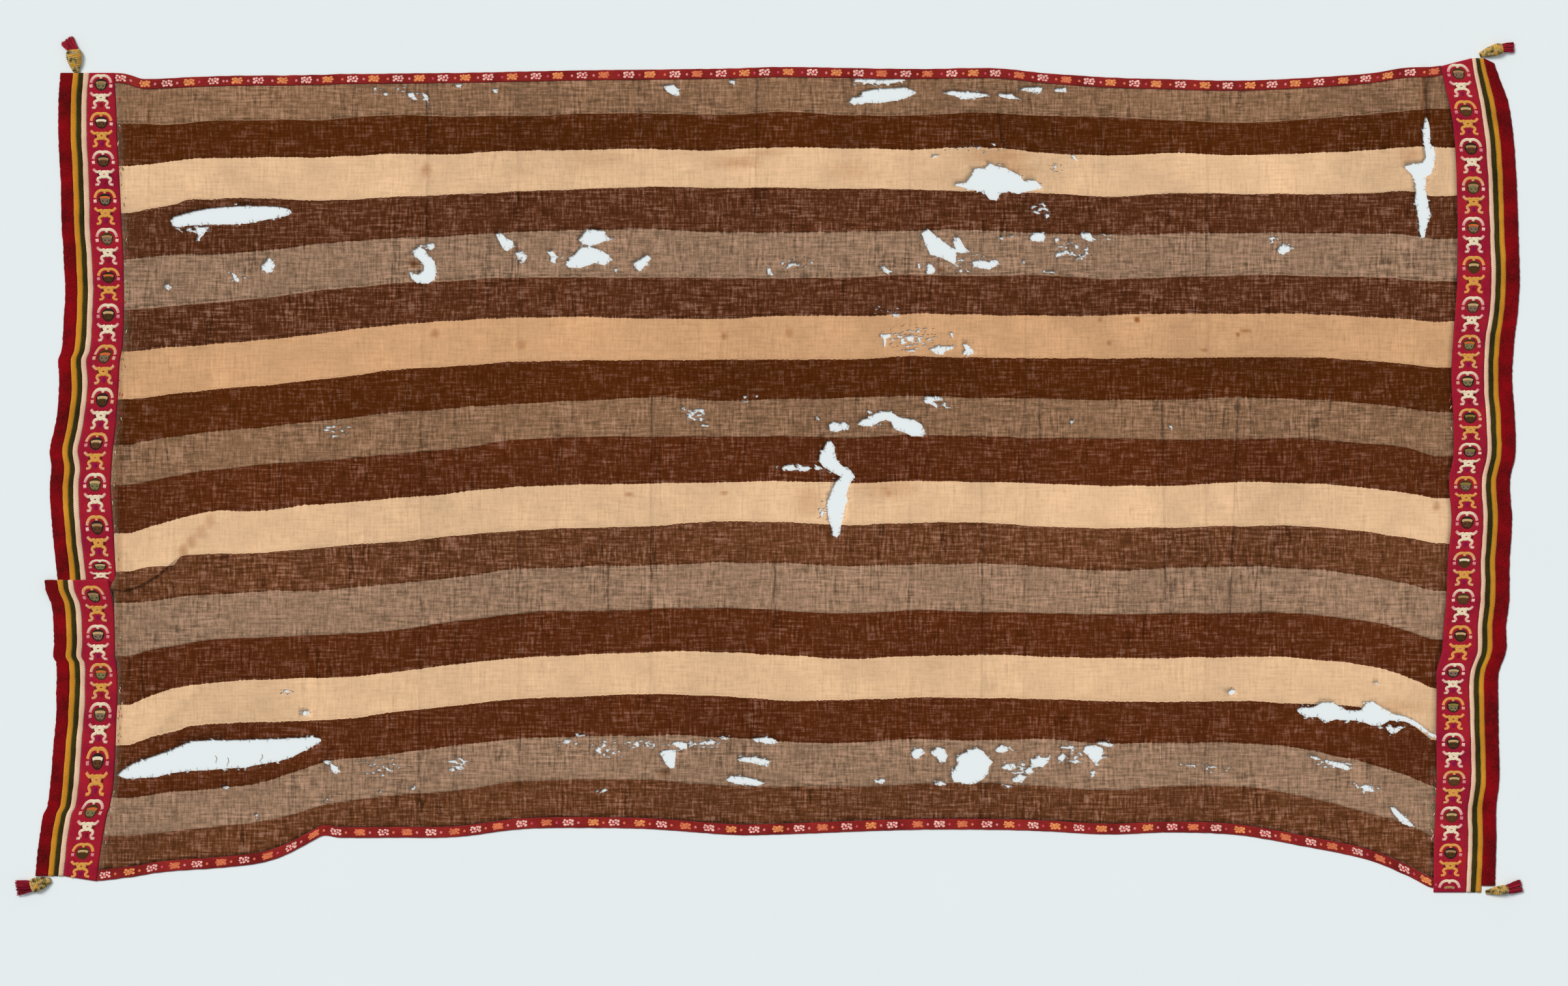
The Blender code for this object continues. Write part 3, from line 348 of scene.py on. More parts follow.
     (493, 1138), (481, 1146), (464, 1154), (450, 1162), (428, 1169), (398, 1174), (372, 1179),
     (351, 1180), (326, 1182), (291, 1184), (263, 1187), (241, 1193), (210, 1195), (190, 1195)],
    [(339, 1210), (351, 1208), (349, 1212)],
    [(390, 1251), (397, 1249), (395, 1254)],
    [(505, 1169), (512, 1174), (523, 1184), (516, 1189), (508, 1184)],
    [(497, 1229), (502, 1228), (501, 1233)],
    [(1961.5, 383), (1965, 377.5), (1974, 375.5), (1983, 380), (1981, 385), (1972, 390.5), (1963, 389)],
    [(1430, 240), (1434, 237.5), (1442, 237.5), (1438, 241), (1431, 242.5)],
    [(1426, 536), (1440, 531), (1464, 531), (1463, 536), (1450, 540), (1448, 545), (1438, 544)],
    [(1478, 528), (1484, 528), (1494, 536), (1496, 544), (1484, 545), (1477, 544), (1482, 536)],
    [(1352, 513), (1368, 513), (1368, 517), (1361, 520), (1360, 532), (1356.5, 533), (1356, 520),
     (1352, 517)],
    [(1388, 517), (1400, 514), (1404, 518), (1402, 523), (1395, 524)],
    [(1388, 537), (1406, 536.5), (1405, 540), (1394, 540)],
    [(1369, 481.5), (1382, 482), (1380, 486.5), (1372, 486)],
    [(1458, 510), (1463, 510), (1464, 519), (1460, 518)],
    [(1644, 649), (1648, 643.5), (1650, 645), (1646.5, 651)],
    [(1796, 653), (1799, 652), (1800.5, 659), (1797.5, 660)],
    [(1046, 626), (1050, 624.5), (1050.5, 629), (1047, 630)],
    [(1054, 640), (1059, 634.5), (1064, 638.5), (1060, 641.5)],
    [(1068.5, 627), (1076, 628), (1082, 632), (1081, 638), (1078, 634)],
    [(1075.5, 652), (1088.5, 652), (1088, 655), (1078, 655)],
    [(463, 1094), (467, 1090.5), (473, 1091), (475.5, 1095), (471, 1099.5), (465, 1098.5)],
    [(630, 1211), (634, 1208.5), (635.5, 1205), (638, 1207), (636, 1212), (631, 1213)],
    [(870.5, 1135.5), (876, 1134.5), (875, 1140), (871, 1140.5)],
    [(885, 1129), (899.5, 1127), (898, 1130), (886, 1131.5)],
    [(914, 1215), (918.5, 1212), (919.5, 1214), (916, 1217)],
    [(691, 1178.5), (695, 1178.5), (694.5, 1183), (691.5, 1183)],
    [(705.5, 1180), (711.5, 1177.5), (712.5, 1180), (707, 1183.5)],
    [(581, 1215.5), (585.5, 1214.5), (585, 1217.5), (581.5, 1218)],
    [(1055.5, 1140), (1060, 1137.5), (1064, 1140.5), (1060, 1144.5)],
    [(1347, 1199), (1352, 1194.5), (1360, 1196.5), (1358, 1201), (1353, 1203.5), (1348, 1202)],
    [(1821, 1173.5), (1834.5, 1173.5), (1834, 1176.5), (1822, 1176.5)],
    [(1811, 1170.5), (1815.5, 1172), (1814, 1175), (1811, 1174)],
    [(1885, 1061), (1890, 1058), (1897, 1059), (1896, 1064), (1891, 1067), (1886, 1066)],
    [(2108, 1047), (2117, 1047.5), (2118, 1051), (2112, 1050.5)],
]

# Patches where the cloth has worn thin, and the floor shows between its yarns.
Worn = namedtuple("Worn", "across down wide high strength")
WORN_PATCHES = [Worn(*row) for row in (
    (800, 398, 14, 8, 0.7), (850, 392, 12, 10, 0.7), (1480, 400, 60, 26, 0.45), (1522, 407, 26, 9, 0.62),
    (1598, 322, 20, 17, 0.62), (1645, 385, 44, 26, 0.5), (1500, 225, 80, 14, 0.42),
    (655, 378, 16, 9, 0.6), (1565, 1178, 46, 18, 0.55), (1645, 1165, 30, 18, 0.55),
    (1545, 1150, 22, 10, 0.52), (985, 1142, 66, 10, 0.56), (1080, 1142, 50, 8, 0.58),
    (2050, 1172, 50, 10, 0.58), (2105, 1212, 24, 12, 0.62), (1222, 718, 40, 8, 0.7),
    (1345, 128, 50, 6, 0.62), (360, 425, 30, 12, 0.45), (500, 1172, 18, 14, 0.5),
    (1066, 637, 26, 20, 0.6), (1400, 520, 62, 26, 0.52), (515, 660, 40, 22, 0.5),
    (440, 1062, 16, 7, 0.62), (870, 1140, 26, 9, 0.6), (930, 1150, 40, 22, 0.54),
    (703, 1174, 24, 20, 0.58), (925, 1214, 18, 6, 0.62), (1350, 1198, 16, 10, 0.52),
    (1640, 1148, 26, 10, 0.55), (1975, 380, 22, 14, 0.52), (1956, 368, 14, 10, 0.58),
    (1860, 1180, 40, 18, 0.46), (1265, 785, 16, 22, 0.5), (1450, 622, 22, 10, 0.55),
    (1230, 405, 60, 18, 0.42), (640, 150, 26, 14, 0.5), (600, 140, 60, 14, 0.42),
    (1620, 258, 26, 18, 0.46), (1148, 610, 26, 16, 0.42), (1350, 475, 44, 10, 0.48),
    (585, 1180, 60, 26, 0.46), (1700, 365, 24, 12, 0.46), (300, 353, 40, 8, 0.6),
    (1900, 620, 18, 10, 0.44), (880, 395, 80, 22, 0.42),
)]

# The figure woven again and again along the bands, drawn on its right half in millimetres from
# its top middle; the left half mirrors it, and a stroke that starts in the middle runs on into
# its mirror.  Its ordinary height is FIGURE_HEIGHT, and FIGURE_GAP lies between two figures.  A
# figure goes with the half of a folded border that shows at FIGURE_BROW below its top.
FIGURE_HEIGHT = 55.0
FIGURE_GAP = 3.5
FIGURE_BROW = 12
Stroke = namedtuple("Stroke", "yarn width points")
FIGURE_STROKES = [
    Stroke("crown", 4.8, [(0, 2.8), (5.6, 2.4), (10.6, 4.6), (13.8, 8.8), (15.4, 13.6)]),
    Stroke("crown", 4.2, [(0, 4.4), (0, 7.0)]),
    Stroke("brow", 4.4, [(0, 12.8), (4.0, 13.0), (7.6, 14.2)]),
    Stroke("dots", 5.2, [(12.9, 18.2), (17.5, 18.8)]),
    # This dark stroke under each arm is painted shade between arm and body.
    Stroke("rim", 2.2, [(10.0, 35.6), (8.8, 39.0)]),
    Stroke("body", 4.4, [(4.4, 31.8), (10.2, 33.0), (13.2, 31.4), (16.2, 28.4)]),
    Stroke("body", 4.6, [(4.4, 40.8), (8.6, 42.2), (10.2, 45.2), (7.8, 48.6), (8.8, 51.4)]),
    Stroke("foot", 4.0, [(8.2, 51.8), (14.0, 52.6)]),
]
Blob = namedtuple("Blob", "yarn across down wide high")
FIGURE_BLOBS = [
    Blob("rim", 0.0, 16.0, 11.6, 10.8),
    Blob("face", 0.0, 17.2, 9.0, 8.4),
    Blob("rim", 3.4, 18.4, 1.7, 1.3),
    Blob("rim", 0.0, 22.6, 2.0, 0.9),
    Blob("body", 0.0, 35.6, 8.2, 5.8),
    Blob("body", 0.0, 39.2, 7.2, 3.6),
    Blob("sash", 0.0, 36.4, 2.4, 1.2),
    Blob("patch", 0.0, 47.6, 3.2, 4.0),
]
LEFT_FIGURES = [114, 172, 231, 290, 350, 411, 466, 529, 595, 664, 726, 791, 859,
                899, 959, 1018, 1078, 1146, 1227, 1294, 1352]
LEFT_HIDDEN_FROM = 889
RIGHT_FIGURES = [98, 154, 212, 271, 333, 393, 455, 514, 570, 627, 680, 731, 785, 847, 904,
                 960, 1018, 1070, 1125, 1183, 1238, 1295, 1350, 1406]
RIGHT_HIDDEN_FROM = 1367

# One motif of the tapes, in millimetres from its own middle, and how far apart motifs are.
MOTIF_PITCH = 35.5
Spot = namedtuple("Spot", "across down wide high")
MOTIF_SPOTS = [Spot(*row) for row in (
    (0.0, 0.0, 7.4, 5.4), (-5.4, -3.6, 2.7, 1.8), (-7.0, -0.2, 2.2, 1.9), (-4.8, 3.4, 2.8, 1.9),
    (-1.6, -1.4, 2.2, 3.0), (-0.4, 3.2, 2.2, 1.7), (2.6, -3.6, 2.5, 1.8), (2.8, 0.4, 2.5, 1.9),
    (6.4, -2.4, 2.1, 2.4), (6.0, 2.8, 2.7, 2.3),
)]
MOTIF_DOT = Spot(15.4, 0.4, 2.2, 2.3)

# The tassels: where each leaves its border, where its wrapped head ends and where its tuft ends.
Tassel = namedtuple("Tassel", "corner root waist tip head_width tuft_width")
TASSELS = [
    Tassel("top_left", (117.6, 110.7), (113.0, 77.0), (101.5, 60.5), 25.0, 22.0),
    Tassel("top_right", (2272.0, 84.3), (2307.0, 74.0), (2325.0, 72.5), 19.0, 17.0),
    Tassel("bottom_left", (78.0, 1351.4), (48.0, 1360.4), (24.5, 1362.9), 23.0, 24.0),
    Tassel("bottom_right", (2281.0, 1370.0), (2316.0, 1364.5), (2337.0, 1359.5), 15.0, 19.0),
]
HEAD_HEIGHT = 11.0
TUFT_HEIGHT = 8.0
HEAD_SHARES = [0.0, 0.12, 0.3, 0.5, 0.72, 0.9, 1.0]
HEAD_WIDTHS = [0.40, 0.52, 0.74, 0.90, 1.0, 0.93, 0.76]

# A tassel head's mesh: sections this far apart with this many sides, turns of yarn this far
# apart, and an underside cut flat at this share of its radius.
HEAD_SECTION = 0.55
HEAD_SIDES = 36
WIND_PITCH = 3.1
HEAD_FLAT = 0.62

# The narrow stripes of each border from the spine out: name, width and whether it is corded.
STRIPS = {
    "left": [("white_stripe", 8.5, True), ("dark_stripe", 6.5, False),
             ("yellow_stripe", 9.5, True)],
    "right": [("white_stripe", 7.0, True), ("dark_stripe", 7.0, False),
              ("yellow_stripe", 8.5, True)],
}
EDGING_WIDTHS = {"left": 19.2, "right": 21.0}
STATION_PITCH = 4.0  # along a border or a tape

# Rows of the ground cloth's mesh in each stripe, the half width under which the stains and the painted
# pleat shadow get a finer mesh, and how strongly each wool is streaked.
CLOTH_ROWS = 7
SMALL_MARK = 13
STREAK_DEPTHS = {"tan": 0.8, "light_tan": 0.8, "rust": 0.45, "brown": 0.75,
                 "chestnut": 0.55, "faded": 0.85, "cream": 0.24, "light_cream": 0.22}

# The values that each point of the ground cloth's mesh carries for its material: its stripe; how worn it
# is; how stained it is, with the painted pleat shadow; how much painted shade its creases give; and how
# greyed it is.
CLOTH_VALUES = ("stripe", "worn", "stain", "crease", "greyed")

# The wools' patterns, by the width and height of one cell: streaks down and along the cloth,
# dashes where it is worn, the tone of single yarns and fine creases.
WARP_STREAK = (3.846, 25.0)
WEFT_STREAK = (35.714, 3.704)
WORN_DASH = (8.333, 4.348)
YARN_TONE = (1.1111, 29.412)
FINE_CREASE = (19.231, 312.5)
# By one size: slubs, places with stronger streaks, slow changes of tone, patches of a denser
# wool's dye, a pattern yarn's grain and rows, and the floor's mottle.
SLUB = 4.762
STREAK_PATCH = 66.667
TONE_DRIFT = 333.33
DYE_PATCH = 45.455
PATTERN_GRAIN = 2.0
PATTERN_ROW = 1.7
FLOOR_MOTTLE = 250.0
# How deep the relief of a plain weave and of a denser, ribbed yarn is.
WEAVE_DEPTH = 0.4
YARN_DEPTH = 0.6

# How high the pattern yarns stand: a figure's strokes and ovals, each layer higher by a step
# than the one before, and a motif's ground, its marks and the dot beside it.
STROKE_HEIGHT = 0.78
STROKE_STEP = 0.03
OVAL_HEIGHT = 0.35
OVAL_STEP = 0.07
MOTIF_GROUND = 0.25
MOTIF_HEIGHT = 0.5
DOT_HEIGHT = 0.4

# A tear's edge: the length of its steps and the depth of its fraying.
RAG_STEP = 2.4
RAG_DEPTH = 0.8

# How far mesh points keep apart: the grid's from a tear's edge or a crease, the points of
# creases and patches from each other and from a tear's edge, and points that merge.
GRID_CLEAR = 2.0
FINE_CLEAR = 0.8
EDGE_CLEAR = 0.7
MERGE_CLEAR = 0.02

# How worn a tear's edge is and over what distance that fades, how wide the grey beside a seam is,
# and from where to where the right seam has it.
FRAY_STRENGTH = 0.44
FRAY_REACH = 4.5
GREY_WIDTH = 11.0
RIGHT_GREY_FROM = 1180
RIGHT_GREY_TO = 1290

# How far the floor lies under the cloth, and where the daylight comes from, in metres.
FLOOR_DROP = 0.0004
LAMP_PLACE = (-2.4, 2.2, 3.2)

# Loose threads that hang in a tear, end to end, and stray stitches beside the seams: the side,
# from and to how far down, and how many.
LONG_THREADS = [((349, 1163), (350, 1177)), ((330, 1160), (333, 1172)), ((402, 1158), (400, 1170))]
STRAY_STITCHES = [(-1, 130, 860, 110), (-1, 920, 1320, 60), (1, 1180, 1290, 34), (1, 600, 700, 8)]

# The radii of broken threads, from and to, of the long threads, of the stray stitches and of the
# tassels' strands, and how deep the raised yarns sink into their cloth.
BROKEN_RADII = (0.22, 0.4)
LONG_RADIUS = 0.45
STITCH_RADIUS = 0.65
STRAND_RADIUS = 0.9
SUNK = 0.15


def linear(code, alpha=1.0):
    """A colour from its sRGB hex code, as the linear values that a shader takes."""
    parts = [int(code[k:k + 2], 16) / 255 for k in (0, 2, 4)]
    return (*[p / 12.92 if p <= 0.04045 else ((p + 0.055) / 1.055) ** 2.4 for p in parts], alpha)


# Yarn colours that the figures, tapes, tassels and loose threads draw on.
YARNS = {name: linear(code) for name, code in dict(
    white="efe0c2", pink_white="f4c4b8", yellow="dba04a", rose="dc8c90", blush="e0a88e",
    apricot="ee9a5c", coral="e07a54", orange="cf6a35", pink="cf5068", red="b51f33", crimson="8d0f28",
    magenta="8a1048", green="5d6a3c", khaki="7d7550", olive="8c7a3a", grey="7d6a58", mole="806858",
    brown="5e3c22", umber="4c3418", dark="33201a", tan="a8835a", straw="c9a876", ochre="c09634"
).items()}


def follow(stations, values, at):
    """A smooth curve's value at a station, level beyond the first and last."""
    if at <= stations[0]:
        return values[0]
    if at >= stations[-1]:
        return values[-1]
    last = len(stations) - 1
    i = max(k for k in range(last) if stations[k] <= at)
    before = max(i - 1, 0)
    after = min(i + 2, last)
    span = stations[i + 1] - stations[i]
    t = (at - stations[i]) / span
    slope_here = (values[i + 1] - values[before]) / (stations[i + 1] - stations[before]) * span
    slope_next = (values[after] - values[i]) / (stations[after] - stations[i]) * span
    return (
        (2 * t**3 - 3 * t**2 + 1) * values[i]
        + (t**3 - 2 * t**2 + t) * slope_here
        + (3 * t**2 - 2 * t**3) * values[i + 1]
        + (t**3 - t**2) * slope_next
    )


def held(value):
    """A value held between 0 and 1."""
    return min(max(value, 0.0), 1.0)


def between(low, high, share):
    """The value a share of the way from one to another."""
    return low + (high - low) * share


def fading(distance, length):
    """A share that falls from 1 at no distance to 0 at a length and beyond."""
    return max(1 - distance / length, 0.0)


def place(across, down, height=0.0):
    """The world point of a plan point, in metres."""
    return Vector(((across - MIDDLE_ACROSS) * MM, (MIDDLE_DOWN - down) * MM, height * MM))


def long_edge(across, name):
    """How far down the top or the bottom edge lies."""
    stations = [row.across for row in LONG_EDGES]
    return follow(stations, [getattr(row, name) for row in LONG_EDGES], across)


def border_at(table, down):
    """The seam and the spine of a border at a station down the cloth."""
    downs = [row.down for row in table]
    seam = follow(downs, [row.seam for row in table], down)
    spine = follow(downs, [row.spine for row in table], down)
    return Border(down, seam, spine)


def left_table(down):
    """The half of the left border, above or below its fold, that shows at a station."""
    return LEFT_ABOVE_FOLD if down < FOLD_HIGH_TURN else LEFT_BELOW_FOLD


def slant(outward, down):
    """How far a band's slant end moves its seam side down, fading along the border."""
    if outward > 0:
        return RIGHT_LEAD * fading(down - RIGHT_BORDER[0].down, LEAD_LENGTH)
    return LEFT_TRAIL * fading(LEFT_BELOW_FOLD[-1].down - down, LEAD_LENGTH)


def seam_place(outward, down):
    """Where the ground cloth meets a band, at a plan place down that counts the band's slant."""
    along = down
    for _ in range(4):
        along = down - slant(outward, along)
    if outward > 0:
        return border_at(RIGHT_BORDER, along).seam
    above = border_at(LEFT_ABOVE_FOLD, along).seam
    below = border_at(LEFT_BELOW_FOLD, along).seam
    share = held((down - SEAM_SHIFT_FROM) / SEAM_SHIFT_LENGTH)
    return between(above, below, share)


def taper(outward, down):
    """How much narrower the stripes and edging are near the top of the right border."""
    if outward < 0:
        return 1.0
    return 1 - RIGHT_TAPER * fading(down - RIGHT_BORDER[0].down, TAPER_LENGTH)


def stripe_lines(across):
    """How far down each line between stripes lies, with the cloth's two edges at the ends."""
    stations = [row.across for row in STRIPE_LINES]
    top = long_edge(across, "top") + TAPE_WIDTHS["top"] + GAP
    bottom = long_edge(across, "bottom") - TAPE_WIDTHS["bottom"] - GAP
    inner = [follow(stations, [row.downs[k] for row in STRIPE_LINES], across)
             for k in range(len(STRIPE_YARNS) - 1)]
    return [top] + inner + [bottom]


def noisy(across, down, size, seed):
    """A smooth random value from about -1 to 1 that varies over a size in millimetres."""
    return noise.noise(Vector((across / size, down / size, seed * 17.3)))


def put(tree, kind, inputs=None, **settings):
    """Adds a shader node with its settings; an input takes a value or another node's output."""
    made = tree.nodes.new(kind)
    for name, value in settings.items():
        setattr(made, name, value)
    for name, value in (inputs or {}).items():
        if isinstance(value, bpy.types.Node):
            value = value.outputs[0]
        if isinstance(value, bpy.types.NodeSocket):
            tree.links.new(value, made.inputs[name])
        else:
            made.inputs[name].default_value = value
    return made


def stepped(tree, share, colours):
    """A colour ramp that steps from each colour to the next as a share goes from 0 to 1."""
    ramp = put(tree, "ShaderNodeValToRGB", {0: share})
    ramp.color_ramp.interpolation = "CONSTANT"
    elements = ramp.color_ramp.elements
    while len(elements) < len(colours):
        elements.new(1.0)
    for k, colour in enumerate(colours):
        elements[k].position = k / len(colours)
        elements[k].color = colour
    return ramp


def calc(tree, operation, *values, clamp=False):
    """A math node, in this order of values or links."""
    return put(tree, "ShaderNodeMath", dict(enumerate(values)), operation=operation,
               use_clamp=clamp)


def blend(tree, share, first, second):
    """A colour between two, by a share."""
    return put(tree, "ShaderNodeMix", {0: share, 6: first, 7: second},
               data_type="RGBA").outputs[2]


def ranged(tree, value, low, high, at_low=0.0, at_high=1.0):
    """A value carried from the range low to high to another range, and held inside it."""
    return put(tree, "ShaderNodeMapRange", {0: value, 1: low, 2: high, 3: at_low, 4: at_high})


def wave(tree, way, pitch):
    """A wave along a way, from -1 to 1, with its pitch in metres."""
    return calc(tree, "SINE", calc(tree, "MULTIPLY", way, 2 * math.pi / pitch))


def drawn_noise(tree, spot, size, detail):
    """Noise whose cells have a width and a height in millimetres."""
    cells = (1 / (size[0] * MM), 1 / (size[1] * MM), 1)
    drawn = put(tree, "ShaderNodeVectorMath", {0: spot, 1: cells}, operation="MULTIPLY")
    return put(tree, "ShaderNodeTexNoise", {"Vector": drawn, "Scale": 1.0, "Detail": detail})


def even_noise(tree, spot, size, detail):
    """Noise whose cells have one size in millimetres each way."""
    scale = 1 / (size * MM)
    return put(tree, "ShaderNodeTexNoise", {"Vector": spot, "Scale": scale, "Detail": detail})


def toned(tree, colour, tone):
    """A colour made darker or lighter by a factor."""
    made = put(tree, "ShaderNodeVectorMath", {0: colour, "Scale": tone}, operation="SCALE")
    return made.outputs[0]


def dress(tree, shader, colour, height, strength, depth):
    """Links a shader's colour, and a shallow relief from a height, so many millimetres deep."""
    relief = put(tree, "ShaderNodeBump",
                 {"Height": height, "Strength": strength, "Distance": depth * MM})
    tree.links.new(colour, shader.inputs["Base Color"])
    tree.links.new(relief.outputs[0], shader.inputs["Normal"])


def new_material(name, roughness, sheen):
    """A plain material with its node tree, its shader and the place on the object."""
    made = bpy.data.materials.new(name)
    made.use_nodes = True
    tree = made.node_tree
    shader = tree.nodes["Principled BSDF"]
    shader.inputs["Roughness"].default_value = roughness
    shader.inputs["Specular IOR Level"].default_value = 0.05
    shader.inputs["Sheen Weight"].default_value = sheen
    shader.inputs["Sheen Roughness"].default_value = 0.5
    spot = put(tree, "ShaderNodeTexCoord").outputs["Object"]
    return made, tree, shader, spot


def ground_wool(settings):
    """Thin plain-woven handspun wool: matt, streaked along both yarns, and worn through."""
    made, tree, shader, spot = new_material("handspun_wool_plain_weave", 0.9, 0.0)
    parts = put(tree, "ShaderNodeSeparateXYZ", {0: spot})
    stripe, worn, stain, crease, greyed = (
        put(tree, "ShaderNodeAttribute", attribute_name=name).outputs["Fac"]
        for name in CLOTH_VALUES)

    # Uneven yarns make streaks down and along the cloth, and each yarn also has its own tone.
    warp = drawn_noise(tree, spot, WARP_STREAK, 3.0)
    weft = drawn_noise(tree, spot, WEFT_STREAK, 3.0)
    rags = drawn_noise(tree, spot, WORN_DASH, 2.0)
    down_yarn = drawn_noise(tree, spot, YARN_TONE, 1.0)
    over_yarn = drawn_noise(tree, spot, YARN_TONE[::-1], 1.0)
    slub = even_noise(tree, spot, SLUB, 2.0)
    patch = even_noise(tree, spot, STREAK_PATCH, 4.0)
    wide = even_noise(tree, spot, TONE_DRIFT, 3.0)

    # The line between two stripes wanders by a yarn or two, and by more over a hand's width.
    jog = calc(tree, "MULTIPLY_ADD", warp, 0.06, stripe)
    jog = calc(tree, "MULTIPLY_ADD", patch, 0.10, jog)
    jog = calc(tree, "SUBTRACT", jog, 0.08)
    count = len(STRIPE_YARNS)
    share = calc(tree, "MULTIPLY", jog, 1 / count)
    dye = stepped(tree, share, [getattr(settings, yarn) for yarn in STRIPE_YARNS])
    depth = stepped(tree, share, [(STREAK_DEPTHS[yarn],) * 3 + (1.0,) for yarn in STRIPE_YARNS])

    # The streaks are strong in some places and faint in others.
    streak = calc(tree, "ADD", warp, weft)
    streak = calc(tree, "SUBTRACT", streak, 1.0)
    gain = ranged(tree, patch, 0.32, 0.68, 0.8, 2.7)
    streak = calc(tree, "MULTIPLY", streak, gain)
    yarns = calc(tree, "ADD", down_yarn, over_yarn)
    grain = calc(tree, "ADD", slub, yarns)
    grain = calc(tree, "SUBTRACT", grain, 1.5)
    streak = calc(tree, "MULTIPLY_ADD", grain, 1.0, streak)
    streak = calc(tree, "MULTIPLY", streak, depth)
    drift = calc(tree, "ADD", patch, wide)
    drift = calc(tree, "MULTIPLY_ADD", drift, 0.5, 0.5)
    tone = calc(tree, "ADD", streak, drift)

    # A darker yarn or two runs along each side of a stripe, and painted shade darkens the old creases.
    part = calc(tree, "FRACT", jog)
    part = calc(tree, "SUBTRACT", part, 0.5)
    part = calc(tree, "ABSOLUTE", part)
    line = ranged(tree, part, 0.468, 0.496, 0.0, 0.35)
    dirt = calc(tree, "MULTIPLY", weft, crease)
    line = calc(tree, "ADD", line, dirt)
    # Painted shade also darkens many fine creases, about 3 mm wide, that run down the cloth and come and
    # go.
    fold = drawn_noise(tree, spot, FINE_CREASE, 1.0)
    fold = calc(tree, "SUBTRACT", fold, 0.5)
    fold = calc(tree, "ABSOLUTE", fold)
    fold = ranged(tree, fold, 0.0, 0.030, 0.50, 0.0)
    shown = ranged(tree, patch, 0.44, 0.60, 0.0, 1.0)
    line = calc(tree, "MULTIPLY_ADD", fold, shown, line)
    line = calc(tree, "MULTIPLY", line, depth)
    tone = calc(tree, "MAXIMUM", tone, 0.55)
    tone = calc(tree, "SUBTRACT", tone, line)
    tone = calc(tree, "MAXIMUM", tone, 0.40)
    wool = toned(tree, dye, tone)

    # Pale fluff and thin yarns speckle the dark stripes.
    lint = ranged(tree, streak, 0.02, 0.70, 0.0, 0.48)
    coloured = blend(tree, lint, wool, linear("bd9888"))

    # Beside the seams the cloth is greyed, and some places are stained brown; the same brown also paints
    # the shadow beside the pleat at the top right.
    blot = calc(tree, "MULTIPLY", rags, 1.3)
    blot = calc(tree, "MULTIPLY", blot, greyed, clamp=True)
    coloured = blend(tree, blot, coloured, linear("857a64"))
    browned = put(tree, "ShaderNodeMix", {0: 1.0, 6: coloured, 7: linear("b48a5a")},
                  data_type="RGBA", blend_type="MULTIPLY").outputs[2]
    blot = calc(tree, "MULTIPLY", patch, 1.8)
    blot = calc(tree, "MULTIPLY", blot, stain, clamp=True)
    coloured = blend(tree, blot, coloured, browned)

    # Where it is worn the floor shows between the yarns, in dashes.
    gap = calc(tree, "MULTIPLY_ADD", rags, 1.6, worn)
    gap = calc(tree, "SUBTRACT", gap, 1.30)
    solid = calc(tree, "MULTIPLY_ADD", gap, -16.0, 1.0, clamp=True)
    tree.links.new(solid.outputs[0], shader.inputs["Alpha"])

    # The weave itself, drawn twice as coarse as it is, as a shallow relief with the slubs.
    rise = wave(tree, parts.outputs["X"], settings.yarn_pitch)
    dip = wave(tree, parts.outputs["Y"], settings.yarn_pitch)
    weave = calc(tree, "ADD", rise, dip)
    weave = calc(tree, "MULTIPLY_ADD", weave, 0.25, streak)
    dress(tree, shader, coloured, weave, 0.5, WEAVE_DEPTH)
    return made


def yarn_wool(name, colour, deeper, grain_mm, rib_mm=0.0, edge=None):
    """Dense wool or cotton yarn in one dye: soft patches, fine grain, and crosswise ribs with painted
    shade in their grooves.
    """
    made, tree, shader, spot = new_material(name, 0.85, 0.15)
    parts = put(tree, "ShaderNodeSeparateXYZ", {0: spot})
    grain = even_noise(tree, spot, grain_mm, 2.0)
    patch = even_noise(tree, spot, DYE_PATCH, 4.0)
    mixed = calc(tree, "ADD", grain, patch)
    mixed = ranged(tree, mixed, 0.75, 1.25)
    dyed = blend(tree, mixed, linear(deeper), tuple(colour))
    if edge:
        side = put(tree, "ShaderNodeAttribute", attribute_name="side").outputs["Fac"]
        near = ranged(tree, side, edge[1], edge[2])
        dyed = blend(tree, near, linear(edge[0]), dyed)
    height = grain
    if rib_mm:
        lean = calc(tree, "MULTIPLY_ADD", parts.outputs["X"], 0.35, parts.outputs["Y"])
        wander = calc(tree, "MULTIPLY_ADD", patch, rib_mm * MM * 2, lean)
        rib = wave(tree, wander, rib_mm * MM)
        # The ribs' grooves are painted darker and their crests a little lighter: painted shade and
        # highlight.
        shade = calc(tree, "MULTIPLY_ADD", rib, 0.10, 0.94)
        dyed = toned(tree, dyed, shade)
        height = calc(tree, "MULTIPLY_ADD", rib, 0.5, height)
    dress(tree, shader, dyed, height, 0.6, YARN_DEPTH)
    return made


def pattern_yarn(name):
    """Raised pattern yarn in crosswise rows, with painted shade between the rows, whose dye changes from
    place to place.
    """
    made, tree, shader, spot = new_material(name, 0.85, 0.15)
    parts = put(tree, "ShaderNodeSeparateXYZ", {0: spot})
    yarn = put(tree, "ShaderNodeAttribute", attribute_name="yarn").outputs["Color"]
    grain = even_noise(tree, spot, PATTERN_GRAIN, 2.0)
    row = wave(tree, parts.outputs["Y"], PATTERN_ROW * MM)
    # Each row is painted a little lighter on its crest and darker in the hollow beside it: painted
    # highlight and shade.
    tone = calc(tree, "MULTIPLY_ADD", grain, 0.7, 0.62)
    tone = calc(tree, "MULTIPLY_ADD", row, 0.06, tone)
    height = calc(tree, "MULTIPLY_ADD", row, 0.4, grain)
    dress(tree, shader, toned(tree, yarn, tone), height, 0.5, WEAVE_DEPTH)
    return made


